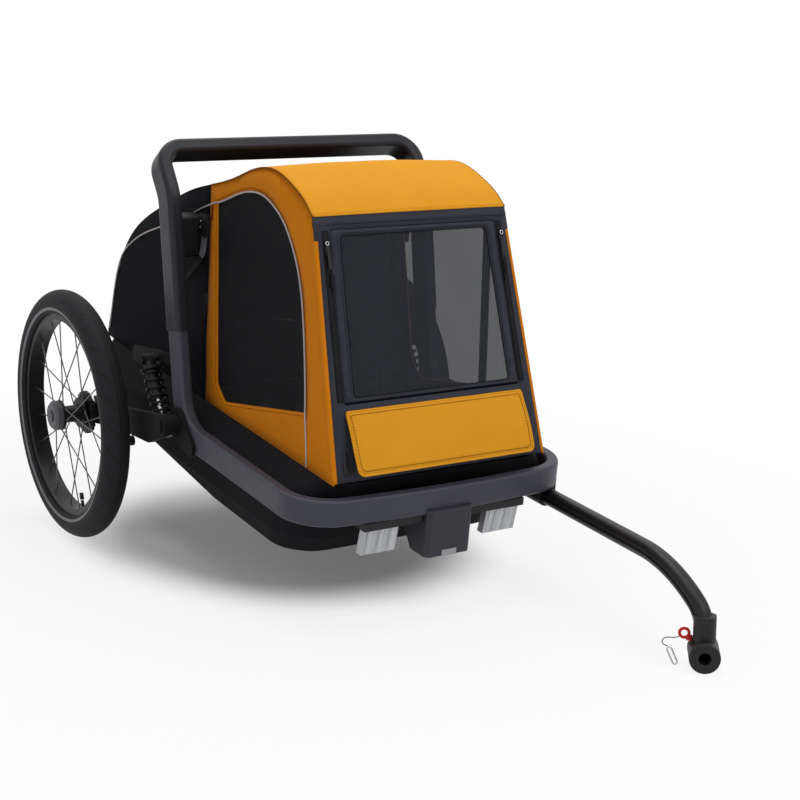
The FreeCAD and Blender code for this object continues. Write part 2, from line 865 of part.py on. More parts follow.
def make_suspension(rail_solid):
    out = V(1, 0, 0)
    pivot = (pivot_y, pivot_z)
    lower = (lower_y, lower_z)
    upper = (upper_y, upper_z)
    face_x = rail_x + tube_w / 2
    nose = (pivot_y - bracket_reach, pivot_z - bracket_drop)
    plate = link(pivot, bracket_r, nose, bracket_r / 2, face_x, face_x + bracket_t)
    pin = rod(V(face_x, pivot_y, pivot_z), V(arm_out + run_gap, pivot_y, pivot_z), pivot_pin_r)
    head = rod(
        V(arm_out + run_gap, pivot_y, pivot_z),
        V(arm_out + run_gap + pin_head_t, pivot_y, pivot_z), pin_head_r,
    )
    save("suspension_bracket", fuse([plate, pin, head]))

    hub_spot = (0, 0)
    boss_in = face_x + bracket_t + run_gap
    arm = fuse([
        link(pivot, arm_plate_r, hub_spot, arm_hub_r, arm_in, arm_out),
        link(pivot, arm_plate_r, lower, arm_ear_r, arm_in, arm_out),
        link(lower, arm_ear_r, (lever_y, lever_z), arm_ear_r, arm_in, arm_out),
        rod(V(boss_in, pivot_y, pivot_z), V(arm_out, pivot_y, pivot_z), arm_boss_r),
        rod(V(arm_in, 0, 0), V(axle_end, 0, 0), axle_r),
        rod(V(arm_out, 0, 0), V(disc_x - run_gap, 0, 0), 2 * axle_r),
        rod(V(shock_x - eye_w / 2, lower_y, lower_z), V(arm_in, lower_y, lower_z), eye_pin_r),
        rod(V(arm_out, lever_y, lever_z), V(arm_out + lever_gap + lever_t, lever_y, lever_z), lever_pin_r),
    ])
    bore_start = V(boss_in - overrun, pivot_y, pivot_z)
    bore = rod(bore_start, V(arm_out + overrun, pivot_y, pivot_z), pivot_pin_r + shaft_gap)
    save("swing_arm", arm.cut(bore))

    low = V(shock_x, lower_y, lower_z)
    high = V(shock_x, upper_y, upper_z)
    axis = (high - low).normalize()
    reach = (high - low).Length

    def along(distance):
        return low + axis * distance

    half = V(eye_w / 2, 0, 0)
    low_seat = seat_off + seat_t
    high_seat = reach - seat_off - seat_t
    mouth = reach * (1 - barrel_share)
    stem_top = mouth + reach * barrel_share / 2
    rod_piece = fuse([
        rod(low - half, low + half, eye_r),
        rod(along(0), along(stem_top), rod_r),
        rod(along(seat_off), along(low_seat), seat_r),
    ]).cut(rod(low - half * 2, low + half * 2, eye_pin_r + eye_slack))
    save("shock_rod", rod_piece)
    body = fuse([
        rod(high - half, high + half, eye_r),
        rod(along(mouth), along(reach), barrel_r),
        rod(along(high_seat), along(high_seat + seat_t), seat_r),
    ])
    body = body.cut(rod(along(mouth - overrun), along(reach - seat_off), rod_r + shaft_gap))
    save("shock_body", body.cut(rod(high - half * 2, high + half * 2, eye_pin_r + shaft_gap)))
    first = low_seat + spring_wire / 2 + spring_seat_gap
    last = high_seat - spring_wire / 2 - spring_seat_gap
    save("coil_spring", make_spring(along(first), axis, out, last - first))

    tilt = math.tan(math.radians(lean))

    def edge_y(z):
        return upright_foot_y + (z - rail_z) * tilt

    gusset_end = (gusset_back_y, (gusset_low_z + upper_z) / 2)
    ear = link(upper, gusset_r, gusset_end, gusset_r, gusset_in, gusset_in + gusset_t)
    web = prism(
        [(edge_y(gusset_top_z), gusset_top_z), (upper_y, upper_z + gusset_r), (upper_y, upper_z),
         (edge_y(upper_z), upper_z)],
        gusset_in, gusset_in + gusset_t,
    )
    bolt_end = V(shock_x + eye_w / 2 + pin_head_t, upper_y, upper_z)
    bolt = rod(V(gusset_in, upper_y, upper_z), bolt_end, eye_pin_r)
    cap = rod(
        V(shock_x + eye_w / 2 + run_gap, upper_y, upper_z),
        V(shock_x + eye_w / 2 + run_gap + pin_head_t, upper_y, upper_z), 2 * eye_pin_r,
    )
    gusset = fuse([ear, web, bolt, cap]).cut(mirrored(rail_solid))
    save("upper_bracket", max(gusset.Solids, key=lambda piece: piece.Volume))

    lever_in = arm_out + lever_gap / 2
    blade = [
        link((lever_y, lever_z), lever_r, (pawl_y, pawl_z), pawl_r, lever_in, lever_in + lever_t - lever_gap),
        link((lever_y, lever_z), lever_r, (knob_y, knob_z), knob_r, lever_in, lever_in + lever_t - lever_gap),
        rod(V(knob_in, knob_y, knob_z), V(lever_in, knob_y, knob_z), knob_r),
    ]
    hole_end = V(lever_in + lever_t + overrun, lever_y, lever_z)
    hole = rod(V(arm_out, lever_y, lever_z), hole_end, lever_pin_r + shaft_gap)
    save("brake_lever", fuse(blade).cut(hole))


# Guides between cabin and uprights, straps and buckles
def make_guides():
    outer = rail_x - tube_w / 2 - sleeve_wall - 2 * slide_gap
    half_l = guide_l / 2
    half_h = guide_h / 2
    block = box(0, outer, guide_y - half_l, guide_y + half_l, guide_z - half_h, guide_z + half_h)
    block = soften(block, V(1, 0, 0), guide_round)
    low_z = guide_z - guide_h
    high_z = guide_z + guide_h
    wedge = polygon([
        V(0, guide_y - guide_l, low_z), V(side_x(low_z), guide_y - guide_l, low_z),
        V(side_x(high_z), guide_y - guide_l, high_z), V(0, guide_y - guide_l, high_z),
    ]).extrude(V(0, 2 * guide_l, 0))
    save("upright_guides", block.cut(wedge))
    ends = [at(*share) for share in strap_shares]
    along_y = ends[1][0] - ends[0][0]
    along_z = ends[1][1] - ends[0][1]
    length = math.hypot(along_y, along_z)
    side_y = -along_z / length * strap_w / 2
    side_z = along_y / length * strap_w / 2
    corners = [
        (ends[0][0] + side_y, ends[0][1] + side_z), (ends[1][0] + side_y, ends[1][1] + side_z),
        (ends[1][0] - side_y, ends[1][1] - side_z), (ends[0][0] - side_y, ends[0][1] - side_z),
    ]
    save("straps", polygon([V(side_x(z), y, z) for y, z in corners]).extrude(V(strap_t, 0, 0)))
    low = buckle_z - buckle_h / 2
    high = buckle_z + buckle_h / 2
    near = buckle_y - buckle_w / 2
    far = guide_y - half_l
    outline = [
        V(side_x(low), near, low), V(side_x(low), far, low),
        V(side_x(high), far, high), V(side_x(high), near, high),
    ]
    save("buckles", polygon(outline).extrude(V(buckle_t, 0, 0)))


# Tow arm, its receiver, coupling head, lock pin, lanyard
def standing_point(point):
    turn = FreeCAD.Rotation(V(1, 0, 0), stand_pitch)
    return turn.multVec(point) + V(0, 0, tyre_od / 2)


def make_tow(rail_solid):
    yaw = math.radians(tow_yaw)
    slope = math.radians(tow_slope)
    ahead = V(-math.sin(yaw) * math.cos(slope), -math.cos(yaw) * math.cos(slope), math.sin(slope))
    mid = V(tow_x, tow_y, tow_z)
    tail = mid - ahead * tow_tail
    across = ahead.cross(V(0, 0, 1)).normalize()
    up = across.cross(ahead)
    pitch = math.radians(stand_pitch)
    down = V(0, -math.sin(pitch), -math.cos(pitch))
    axis = ahead.cross(down).normalize()
    swing = math.degrees(ahead.getAngle(down))
    corner = tail + ahead * (tow_tail + tow_run)
    stop = 2 * head_r + collar_seat
    easing = FreeCAD.Rotation(axis, tow_ease)
    centre = corner + axis.cross(ahead) * tow_ease_r
    knee = FreeCAD.Placement(V(0, 0, 0), easing, centre).multVec(corner)
    rest = swing - tow_ease
    bend_r = tow_bend_share * (standing_point(knee).z - stop) / math.sin(math.radians(rest))
    bend = FreeCAD.Rotation(axis, rest)
    centre = knee + axis.cross(easing.multVec(ahead)) * bend_r
    turned = FreeCAD.Placement(V(0, 0, 0), bend, centre).multVec(knee)
    drop = standing_point(turned).z - stop
    steps = [
        ("run", None, tow_tail + tow_run, 0),
        ("turn", axis, tow_ease_r, tow_ease),
        ("turn", axis, bend_r, rest),
        ("run", None, drop, 0),
    ]
    outer, inner, here, way = tube(tail, ahead, across, up, (tow_w, tow_h), tow_wall, tow_round, steps)
    arm = outer.cut(inner)
    for sign in (-1, 1):
        edge = tail + across * (sign * (tow_w - groove_deep) / 2)
        slot = rounded(edge, across, up, 2 * groove_deep, groove_w, groove_deep / 2)
        arm = arm.cut(follow(slot, tail, ahead, steps)[0])
    save("tow_arm", arm)

    grow = slide_gap
    gap_face = rounded(
        tail - ahead * overrun, across, up, tow_w + 2 * grow, tow_h + 2 * grow, tow_round + grow)
    channel = gap_face.extrude(ahead * (tow_tail + tow_run))
    start = mid - ahead * receiver_back
    sleeve = rounded(
        start, across, up, tow_w + 2 * receiver_wall, tow_h + 2 * receiver_wall, tow_round + receiver_wall,
    ).extrude(ahead * (receiver_back + receiver_front))
    saddle = box(saddle_in, saddle_out, saddle_front, saddle_back, tow_z - tow_h / 2, rail_z - tube_h / 2)
    receiver = fuse([sleeve, saddle]).cut(channel).cut(nodes["tub"]).cut(mirrored(rail_solid))
    save("arm_receiver", max(receiver.Solids, key=lambda piece: piece.Volume))

    top = standing_point(here)
    turn = math.radians(head_yaw)
    mouth = V(-math.sin(turn), -math.cos(turn), 0)
    centre = V(top.x, top.y, head_r)
    face = centre + mouth * (head_l / 2)
    rear = centre - mouth * (head_l / 2)
    spine = soften_ring(rod(rear, face, head_r))
    neck = rod(centre, V(centre.x, centre.y, stop), collar_r)
    tilt = math.radians(tow_pin_tilt)
    pin_way = V(-math.cos(turn) * math.cos(tilt), math.sin(turn) * math.cos(tilt), math.sin(tilt))
    foot = face - mouth * tow_pin_back
    boss = rod(foot, foot + pin_way * boss_out, boss_r)
    head = fuse([spine, neck, boss])
    head = head.cut(rod(face + mouth * overrun, face - mouth * head_bore_depth, head_bore_r))
    head = head.cut(rod(foot, foot + pin_way * (boss_out + overrun), tow_pin_r + shaft_gap))
    spot_from = foot + pin_way * boss_out
    spot_to = foot + pin_way * (tow_pin_out + overrun)
    head = head.cut(rod(spot_from, spot_to, pin_flange_r + slide_gap))
    save("coupling_head", head)
    sheath = rod(V(centre.x, centre.y, stop), V(centre.x, centre.y, stop + collar_l), collar_r)
    solid = outer.copy()
    solid.rotate(V(0, 0, 0), V(1, 0, 0), stand_pitch)
    solid.translate(V(0, 0, tyre_od / 2))
    sheath = sheath.cut(solid)
    save("arm_collar", max(sheath.Solids, key=lambda piece: piece.Volume))
    hub = foot + pin_way * (tow_pin_out + ring_wire_r + ring_r)
    stem = rod(foot + pin_way * tow_pin_tip, foot + pin_way * (tow_pin_out + ring_wire_r), tow_pin_r)
    stop_face = foot + pin_way * tow_pin_out
    flange = rod(stop_face - pin_way * pin_flange_t, stop_face, pin_flange_r)
    save("lock_pin", fuse([stem, flange, Part.makeTorus(ring_r, ring_wire_r, hub, mouth)]))
    for name in ("coupling_head", "arm_collar", "lock_pin"):
        standing.add(name)
    make_lanyard(hub, mouth)
    return face.y - head_r * abs(math.sin(turn))


def soften_ring(shape):
    edges = [edge for edge in shape.Edges if len(edge.Vertexes) == 1]
    return shape.makeFillet(collar_seat / 2, edges)


def make_lanyard(ring, mouth):
    side = V(-mouth.y, mouth.x, 0)
    base = ring - V(0, 0, ring_r)
    route = [base + side * (out * cord_step) + V(0, 0, up * cord_step) for out, up in cord_shares]
    edges = []
    here = route[0]
    radii = []
    for index in range(1, len(route) - 1):
        corner = route[index]
        before = corner - route[index - 1]
        after = route[index + 1] - corner
        turn = before.getAngle(after)
        cut = 0.45 * min(before.Length, after.Length)
        radius = cut / math.tan(turn / 2)
        radii.append(radius)
        start = corner - before.normalize() * cut
        end = corner + after.normalize() * cut
        edges.append(Part.LineSegment(here, start).toShape())
        edges.append(arc_between(start, (corner - start).normalize(), end, cut))
        here = end
    edges.append(Part.LineSegment(here, route[-1]).toShape())
    path = Part.Wire(edges)
    ring_wire = Part.Wire(Part.makeCircle(cord_d / 2, route[0], route[1] - route[0]))
    cord = path.makePipeShell([ring_wire], True, False)
    print("cord radii", [round(r, 2) for r in radii], "length", round(path.Length, 1), "volume share", round(
        cord.Volume / (path.Length * math.pi * cord_d ** 2 / 4), 4))
    print("cord points", [[round(c, 2) for c in p] for p in route])
    save("lanyard", cord)
    standing.add("lanyard")
    top = route[-1]
    lean_by = math.radians(clip_turn)
    fall = side * math.sin(lean_by) - V(0, 0, math.cos(lean_by))
    wide = fall.cross(mouth).normalize()
    inner_l = clip_l - clip_w
    near = top + fall * (clip_w / 2 + cord_d / 2 + slide_gap)
    far = near + fall * inner_l
    bow = clip_w / 2 - clip_wire / 2
    loop = Part.Wire([
        Part.LineSegment(near + wide * bow, far + wide * bow).toShape(),
        Part.Arc(far + wide * bow, far + fall * bow, far - wide * bow).toShape(),
        Part.LineSegment(far - wide * bow, near - wide * bow).toShape(),
        Part.Arc(near - wide * bow, near - fall * bow, near + wide * bow).toShape(),
    ])
    seat = Part.Wire(Part.makeCircle(clip_wire / 2, near + wide * bow, fall))
    save("lanyard_clip", loop.makePipeShell([seat], True, False))
    standing.add("lanyard_clip")
    print("clip low", round(nodes["lanyard_clip"].BoundBox.ZMin, 2))


make_wheel()
rail_solid = make_frame()
tub_solid = make_tub()
make_cabin(tub_solid)
make_front()
make_suspension(rail_solid)
make_guides()
front_edge = make_tow(rail_solid)

paired = (
    "tyre", "rim", "spokes", "hub", "hub_button", "side_panel", "side_net", "rear_side", "zip_slider",
    "suspension_bracket", "swing_arm", "shock_rod", "shock_body", "coil_spring", "upper_bracket",
    "brake_lever",
)
twins = ("reflectors", "upright_guides", "straps", "buckles")
for name in twins:
    nodes[name] = Part.makeCompound([nodes[name], mirrored(nodes[name])])
origin_y = -(tyre_od / 2 + front_edge) / 2
os.makedirs("parts", exist_ok=True)


def stand(shape, level):
    placed = shape.copy()
    if not level:
        placed.rotate(V(0, 0, 0), V(1, 0, 0), stand_pitch)
        placed.translate(V(0, 0, tyre_od / 2))
    placed.translate(V(0, origin_y, 0))
    return placed


for name, shape in nodes.items():
    if name in paired:
        stand(shape, False).exportStep("parts/" + name + "_left.step")
        stand(mirrored(shape), False).exportStep("parts/" + name + "_right.step")
    else:
        stand(shape, name in standing).exportStep("parts/" + name + ".step")
    print(name, len(shape.Solids), round(shape.Volume / 1000, 1), shape.isValid())
print("origin shift", round(origin_y, 3), "pieces", len(nodes) + len(paired))
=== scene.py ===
import math

import bmesh
import bpy
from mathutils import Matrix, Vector, noise
from mathutils.geometry import delaunay_2d_cdt


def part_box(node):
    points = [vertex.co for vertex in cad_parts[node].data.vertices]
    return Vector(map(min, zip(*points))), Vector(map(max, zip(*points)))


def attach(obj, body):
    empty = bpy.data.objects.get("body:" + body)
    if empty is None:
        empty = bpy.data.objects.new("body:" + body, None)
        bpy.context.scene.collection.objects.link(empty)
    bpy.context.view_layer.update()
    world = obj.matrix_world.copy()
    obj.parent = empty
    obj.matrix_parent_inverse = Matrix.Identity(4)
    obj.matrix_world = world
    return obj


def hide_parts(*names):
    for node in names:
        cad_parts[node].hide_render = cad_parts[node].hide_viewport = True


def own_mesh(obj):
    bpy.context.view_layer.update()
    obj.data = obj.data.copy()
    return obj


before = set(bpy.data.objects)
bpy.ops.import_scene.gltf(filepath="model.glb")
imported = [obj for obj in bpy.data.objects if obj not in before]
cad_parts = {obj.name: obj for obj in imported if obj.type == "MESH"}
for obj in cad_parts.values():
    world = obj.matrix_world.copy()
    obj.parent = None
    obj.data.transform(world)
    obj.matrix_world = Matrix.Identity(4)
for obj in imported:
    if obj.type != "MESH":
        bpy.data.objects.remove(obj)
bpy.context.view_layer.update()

# Trailer lines in millimetres: axle at the origin, rails level, -Y forward.
PITCH = math.radians(8)
COS, SIN = math.cos(PITCH), math.sin(PITCH)
tyre_low, tyre_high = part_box("tyre_left")
AXLE_X = (tyre_low.x + tyre_high.x) / 2
AXLE_Y = (tyre_low.y + tyre_high.y) / 2
AXLE_Z = (tyre_low.z + tyre_high.z) / 2
CABIN_FRONT, CABIN_LENGTH, CABIN_FLOOR, CABIN_HEIGHT = -622.0, 754.0, 85.0, 400.0
SIDE_HALF, SIDE_LEAN = 177.0, 0.052
CROWN = 4.0
# Seam of roof and sides, as shares of the cabin's length, its height and the crown
SEAM = (
    (0.17, 0.846, 0.2), (0.2007, 0.886, 0.5), (0.245, 0.92, 0.8), (0.3194, 0.95, 1.0),
    (0.3947, 0.926, 1.0), (0.4661, 0.869, 0.9), (0.566, 0.805, 0.8), (0.629, 0.7675, 0.7),
    (0.7643, 0.651, 0.6), (0.934, 0.425, 0.4), (0.979, 0.226, 0.2), (1.0, 0.02, 0.0),
)
WINDOW_EDGE = (
    (-222, 385), (-252, 397), (-284, 411), (-313, 420), (-341, 424), (-367, 422), (-393, 414), (-416, 403),
    (-444, 380), (-473, 344), (-498, 289), (-511, 246), (-520, 211), (-527, 180), (-531, 159),
)
WINDOW_FOOT = ((-300, 102), (-271, 122))
REAR_PIPE = (
    (-221, 386), (-205, 380), (-181, 370), (-140, 351), (-92, 332), (-45, 311), (10, 289),
    (62, 261), (93, 235), (107, 209), (116, 170), (121, 129), (124, 100),
)
SPLIT_Y = -195.24
SPLIT_FOOT, SPLIT_HEAD = (-235.95, 85.0), (-196.2, 405.6)
FRONT_HEAD_Y, FRONT_HEAD_Z, FRONT_FOOT_Z = -493.82, 423.4, 88.0
UP = Vector((0, FRONT_HEAD_Y - CABIN_FRONT, FRONT_HEAD_Z - FRONT_FOOT_Z)).normalized()
OUT = Vector((0, -UP.z, UP.y))
DOOR_FOOT, DOOR_HEAD, DOOR_HALF_FOOT, DOOR_HALF_HEAD = 184.0, 406.0, 145.0, 137.0
SIDES = (("left", 1), ("right", -1))

# In metres: thickness of the cloth, and a wave texture's scale for bands a metre apart
CLOTH = 0.0014
BAND = 0.314
# In metres, small blocks along a line: pitch, width, height, length
SIDE_STITCH = (0.0046, 0.0006, 0.0006, 0.003)
FLAP_STITCH = (0.0046, 0.0009, 0.0007, 0.0031)
FINE_STITCH = (0.0042, 0.0006, 0.0006, 0.0028)
TACK_STITCH = (0.0022, 0.0009, 0.0009, 0.0018)
REAR_TOOTH = (0.0026, 0.0032, 0.0012, 0.0012)
ZIP_TOOTH = (0.0022, 0.0042, 0.0008, 0.0011)
LENS_RIB = (0.0035, 0.0084, 0.0005, 0.0036)
VIEW_RAYS = ("Is Camera Ray", "Is Glossy Ray", "Is Transmission Ray")


def row(x, y, z):
    """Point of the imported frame, in metres, from the trailer's own millimetres."""
    return Vector((x / 1000, AXLE_Y + (y * COS - z * SIN) / 1000, AXLE_Z + (y * SIN + z * COS) / 1000))


def side_x(z):
    return SIDE_HALF - (z - CABIN_FLOOR) * SIDE_LEAN


def front_y(z):
    return CABIN_FRONT + (z - FRONT_FOOT_Z) * (FRONT_HEAD_Y - CABIN_FRONT) / (FRONT_HEAD_Z - FRONT_FOOT_Z)


def door_half(z):
    return DOOR_HALF_FOOT + (z - DOOR_FOOT) * (DOOR_HALF_HEAD - DOOR_HALF_FOOT) / (DOOR_HEAD - DOOR_FOOT)


def on_front(x, z, lift=0.0):
    point = Vector((x, front_y(z), z)) + OUT * lift
    return row(*point)


def quad(low_half, low, high_half, high):
    return [(-low_half, low), (low_half, low), (high_half, high), (-high_half, high)]


def on_side(sign, y, z, lift=0.0):
    return row(sign * (side_x(z) + lift), y, z)


def smooth_line(points):
    """Natural cubic through points of any dimension, by the distance along the first two."""
    knots = [0.0]
    for a, b in zip(points, points[1:]):
        knots.append(knots[-1] + math.hypot(b[0] - a[0], b[1] - a[1]))
    count = len(points)
    bends = []
    for axis in range(len(points[0])):
        value = [p[axis] for p in points]
        upper = [0.0] * count
        right = [0.0] * count
        for i in range(1, count - 1):
            before, after = knots[i] - knots[i - 1], knots[i + 1] - knots[i]
            slope = 6 * ((value[i + 1] - value[i]) / after - (value[i] - value[i - 1]) / before)
            scale = 2 * (before + after) - before * upper[i - 1]
            upper[i] = after / scale
            right[i] = (slope - before * right[i - 1]) / scale
        bend = [0.0] * count
        for i in range(count - 2, 0, -1):
            bend[i] = right[i] - upper[i] * bend[i + 1]
        bends.append((value, bend))

    def sample(u):
        t = min(max(u, 0.0), 1.0) * knots[-1]
        i = 0
        while i < count - 2 and t > knots[i + 1]:
            i += 1
        width = knots[i + 1] - knots[i]
        a, b = (knots[i + 1] - t) / width, (t - knots[i]) / width
        lift = width * width / 6
        return [
            a * v[i] + b * v[i + 1] + ((a ** 3 - a) * m[i] + (b ** 3 - b) * m[i + 1]) * lift
            for v, m in bends
        ]
    return sample


def line_points(points, count):
    sample = smooth_line(points)
    return [sample(i / (count - 1)) for i in range(count)]


seam_at = smooth_line([
    (CABIN_FRONT + a * CABIN_LENGTH, CABIN_FLOOR + b * CABIN_HEIGHT, CROWN * c) for a, b, c in SEAM])


def seam_share(test):
    """Place along the seam where a falling test changes sign."""
    low, high = 0.0, 1.0
    for _ in range(40):
        middle = (low + high) / 2
        low, high = (middle, high) if test(seam_at(middle)) > 0 else (low, middle)
    return low


SPLIT_U = seam_share(lambda p: SPLIT_Y - p[0])


def on_roof(u, s, lift=0.0):
    y, z, crown = seam_at(u)
    return row(s * side_x(z), y, z + crown * (1 - s * s) + lift)


class Value:
    """A shader socket that takes part in sums."""

    def __init__(self, tree, socket):
        self.tree = tree
        self.socket = socket

    def maths(self, operation, *terms):
        node = self.tree.nodes.new("ShaderNodeMath")
        node.operation = operation
        for slot, term in zip(node.inputs, terms):
            if isinstance(term, Value):
                self.tree.links.new(term.socket, slot)
            else:
                slot.default_value = term
        return Value(self.tree, node.outputs[0])

    def __add__(self, other):
        return self.maths("ADD", self, other)

    def __sub__(self, other):
        return self.maths("SUBTRACT", self, other)

    def __rsub__(self, other):
        return self.maths("SUBTRACT", other, self)

    def __mul__(self, other):
        return self.maths("MULTIPLY", self, other)

    def __gt__(self, other):
        return self.maths("GREATER_THAN", self, other)

    def __lt__(self, other):
        return self.maths("LESS_THAN", self, other)

    def __abs__(self):
        return self.maths("ABSOLUTE", self)

    __radd__ = __add__

class Finish:
    """One material: its shader, and the nodes that feed it."""

    def __init__(self, name):
        self.material = bpy.data.materials.new(name)
        self.material.use_nodes = True
        self.tree = self.material.node_tree
        self.tree.nodes.clear()
        self.shader = self.tree.nodes.new("ShaderNodeBsdfPrincipled")
        self.output = self.tree.nodes.new("ShaderNodeOutputMaterial")
        self.tree.links.new(self.shader.outputs[0], self.output.inputs[0])

    def put(self, slot, value):
        if isinstance(value, Value):
            self.tree.links.new(value.socket, slot)
        else:
            slot.default_value = value

    def node(self, kind, settings=None, sockets=None, out=0):
        node = self.tree.nodes.new(kind)
        for key, value in (settings or {}).items():
            setattr(node, key, value)
        for key, value in (sockets or {}).items():
            self.put(node.inputs[key], value)
        return Value(self.tree, node.outputs[out])

    def place(self, scale=(1, 1, 1), shift=(0, 0, 0)):
        here = self.node("ShaderNodeTexCoord", out=3)
        return self.node("ShaderNodeMapping", None, {"Vector": here, "Scale": scale, "Location": shift})

    def grain(self, scale, detail, rough):
        return self.node("ShaderNodeTexNoise", None, {
            "Vector": self.place(), "Scale": scale, "Detail": detail, "Roughness": rough})

    def ribs(self, pitch, axis):
        return self.node("ShaderNodeTexWave", {"wave_type": "BANDS", "bands_direction": axis}, {
            "Vector": self.place(), "Scale": BAND / pitch, "Distortion": 0.0})

    def blend(self, share, first, second):
        return self.node("ShaderNodeMix", {"data_type": "RGBA"}, {0: share, 6: first, 7: second}, out=2)

    def relief(self, height, strength, depth):
        return self.node("ShaderNodeBump", None, {"Height": height, "Strength": strength, "Distance": depth})

    def axes(self, where=None):
        node = self.tree.nodes.new("ShaderNodeSeparateXYZ")
        self.put(node.inputs["Vector"], where or self.place())
        return [Value(self.tree, socket) for socket in node.outputs]

    def surface(self, **sockets):
        for key, value in sockets.items():
            self.put(self.shader.inputs[key.replace("_", " ")], value)


def tone(red, green, blue):
    """Linear colour from eight-bit screen values."""
    parts = []
    for part in (red, green, blue):
        share = part / 255
        parts.append(share / 12.92 if share <= 0.04045 else ((share + 0.055) / 1.055) ** 2.4)
    return (*parts, 1.0)


def woven(name, main, dark, rough, thread, depth, sheen, shine=0.15):
    """Plain weave: crossed threads, faint cloudy fading, soft sheen."""
    finish = Finish(name)
    fade = finish.grain(9.0, 4.0, 0.6)
    slub = finish.grain(240.0, 2.0, 0.5)
    weave = (finish.ribs(thread, "X") + finish.ribs(thread, "Y") + finish.ribs(thread, "Z")) * 0.33
    share = fade * 0.62 + slub * 0.26 + (1 - weave) * 0.16
    finish.surface(
        Base_Color=finish.blend(share, tone(*main), tone(*dark)),
        Roughness=rough + (slub - 0.5) * 0.12,
        Normal=finish.relief(weave * 0.7 + slub * 0.5, depth, 0.0006),
        Sheen_Weight=sheen, Sheen_Roughness=0.45, Specular_IOR_Level=shine,
    )
    return finish


def coated(name, main, dark, rough, scale, depth, metal=0.0, shine=0.3):
    """Moulded or painted skin: fine grain, faint blotches, worn sheen."""
    finish = Finish(name)
    blotch = finish.grain(14.0, 4.0, 0.6)
    speck = finish.grain(scale, 2.0, 0.6)
    finish.surface(
        Base_Color=finish.blend(blotch * 0.7 + speck * 0.3, tone(*main), tone(*dark)),
        Roughness=rough + (blotch - 0.5) * 0.16,
        Normal=finish.relief(speck, depth, 0.0004),
        Metallic=metal, Specular_IOR_Level=shine,
    )
    return finish


orange_cloth = woven("orange_cloth", (240, 168, 42), (220, 148, 26), 0.8, 0.0013, 0.2, 0.02)
# A darker, redder copy of orange_cloth for the side panels and edge wraps: painted shade of the sides, which
# get less light than the roof.
shaded_orange_cloth = woven("shaded_orange_cloth", (223, 135, 8), (205, 117, 4), 0.8, 0.0013, 0.2, 0.02)
charcoal_cloth = woven("charcoal_cloth", (58, 61, 70), (46, 48, 56), 0.78, 0.0013, 0.25, 0.05)
black_cloth = woven("black_cloth", (22, 23, 28), (14, 15, 19), 0.8, 0.0013, 0.25, 0.0, 0.06)
webbing = woven("grey_webbing", (140, 141, 146), (104, 105, 110), 0.7, 0.0016, 0.5, 0.1)
dark_thread = woven("dark_thread", (140, 84, 12), (104, 60, 8), 0.8, 0.0008, 0.2, 0.0)
black_thread = woven("black_thread", (22, 22, 26), (12, 12, 15), 0.8, 0.0008, 0.2, 0.0)
red_thread = woven("red_thread", (120, 40, 12), (92, 26, 8), 0.8, 0.0008, 0.2, 0.0)
piping_cord = woven("piping_cord", (206, 196, 194), (176, 166, 166), 0.45, 0.001, 0.2, 0.0)
mat_cloth = woven("mat_cloth", (40, 41, 46), (28, 29, 33), 0.85, 0.0018, 0.4, 0.1)
frame_paint = coated("frame_paint", (69, 70, 79), (59, 60, 69), 0.44, 900.0, 0.1, 0.0, 0.25)
bar_paint = coated("bar_paint", (40, 41, 47), (32, 33, 39), 0.38, 900.0, 0.1, 0.0, 0.2)
black_plastic = coated("black_plastic", (28, 28, 31), (18, 18, 21), 0.52, 520.0, 0.22)
block_plastic = coated("block_plastic", (54, 55, 63), (44, 45, 52), 0.5, 520.0, 0.2)
tub_plastic = coated("tub_plastic", (24, 24, 28), (16, 16, 19), 0.7, 420.0, 0.25, 0.0, 0.07)
grey_plastic = coated("grey_plastic", (84, 86, 90), (66, 68, 72), 0.5, 520.0, 0.2)
pale_plastic = coated("pale_plastic", (176, 177, 181), (150, 151, 156), 0.5, 520.0, 0.15)
black_steel = coated("black_steel", (26, 26, 29), (16, 16, 18), 0.42, 640.0, 0.15, 0.2)
dark_casting = coated("dark_casting", (20, 20, 23), (13, 13, 15), 0.62, 640.0, 0.15, 0.0, 0.14)
spoke_steel = coated("spoke_steel", (112, 113, 117), (86, 87, 91), 0.34, 700.0, 0.1, 0.8)
bright_steel = coated("bright_steel", (206, 206, 208), (170, 170, 174), 0.26, 700.0, 0.1, 1.0)
red_plastic = coated("red_plastic", (214, 34, 28), (182, 20, 18), 0.38, 520.0, 0.1)
cord_weave = woven("cord_weave", (120, 122, 126), (84, 86, 90), 0.7, 0.0007, 0.4, 0.0)


def net_finish(name, main, cover):
    """Fine knitted net: mostly covered, with the gaps let through."""
    finish = Finish(name)
    cloud = finish.grain(9.0, 2.0, 0.4)
    knit = finish.grain(1400.0, 1.0, 0.4)
    finish.surface(
        Base_Color=finish.blend(cloud, main, tuple(0.8 * c for c in main[:3]) + (1.0,)),
        Roughness=0.7 + (cloud - 0.5) * 0.1,
        Alpha=cover + (cloud - 0.5) * 0.06 + (knit - 0.5) * 0.03,
        Normal=finish.relief(knit, 0.04, 0.0003),
        Specular_IOR_Level=0.15,
    )
    return finish


front_mesh = net_finish("front_mesh", tone(58, 61, 68), 0.62)
side_mesh = net_finish("side_mesh", tone(30, 30, 34), 0.78)


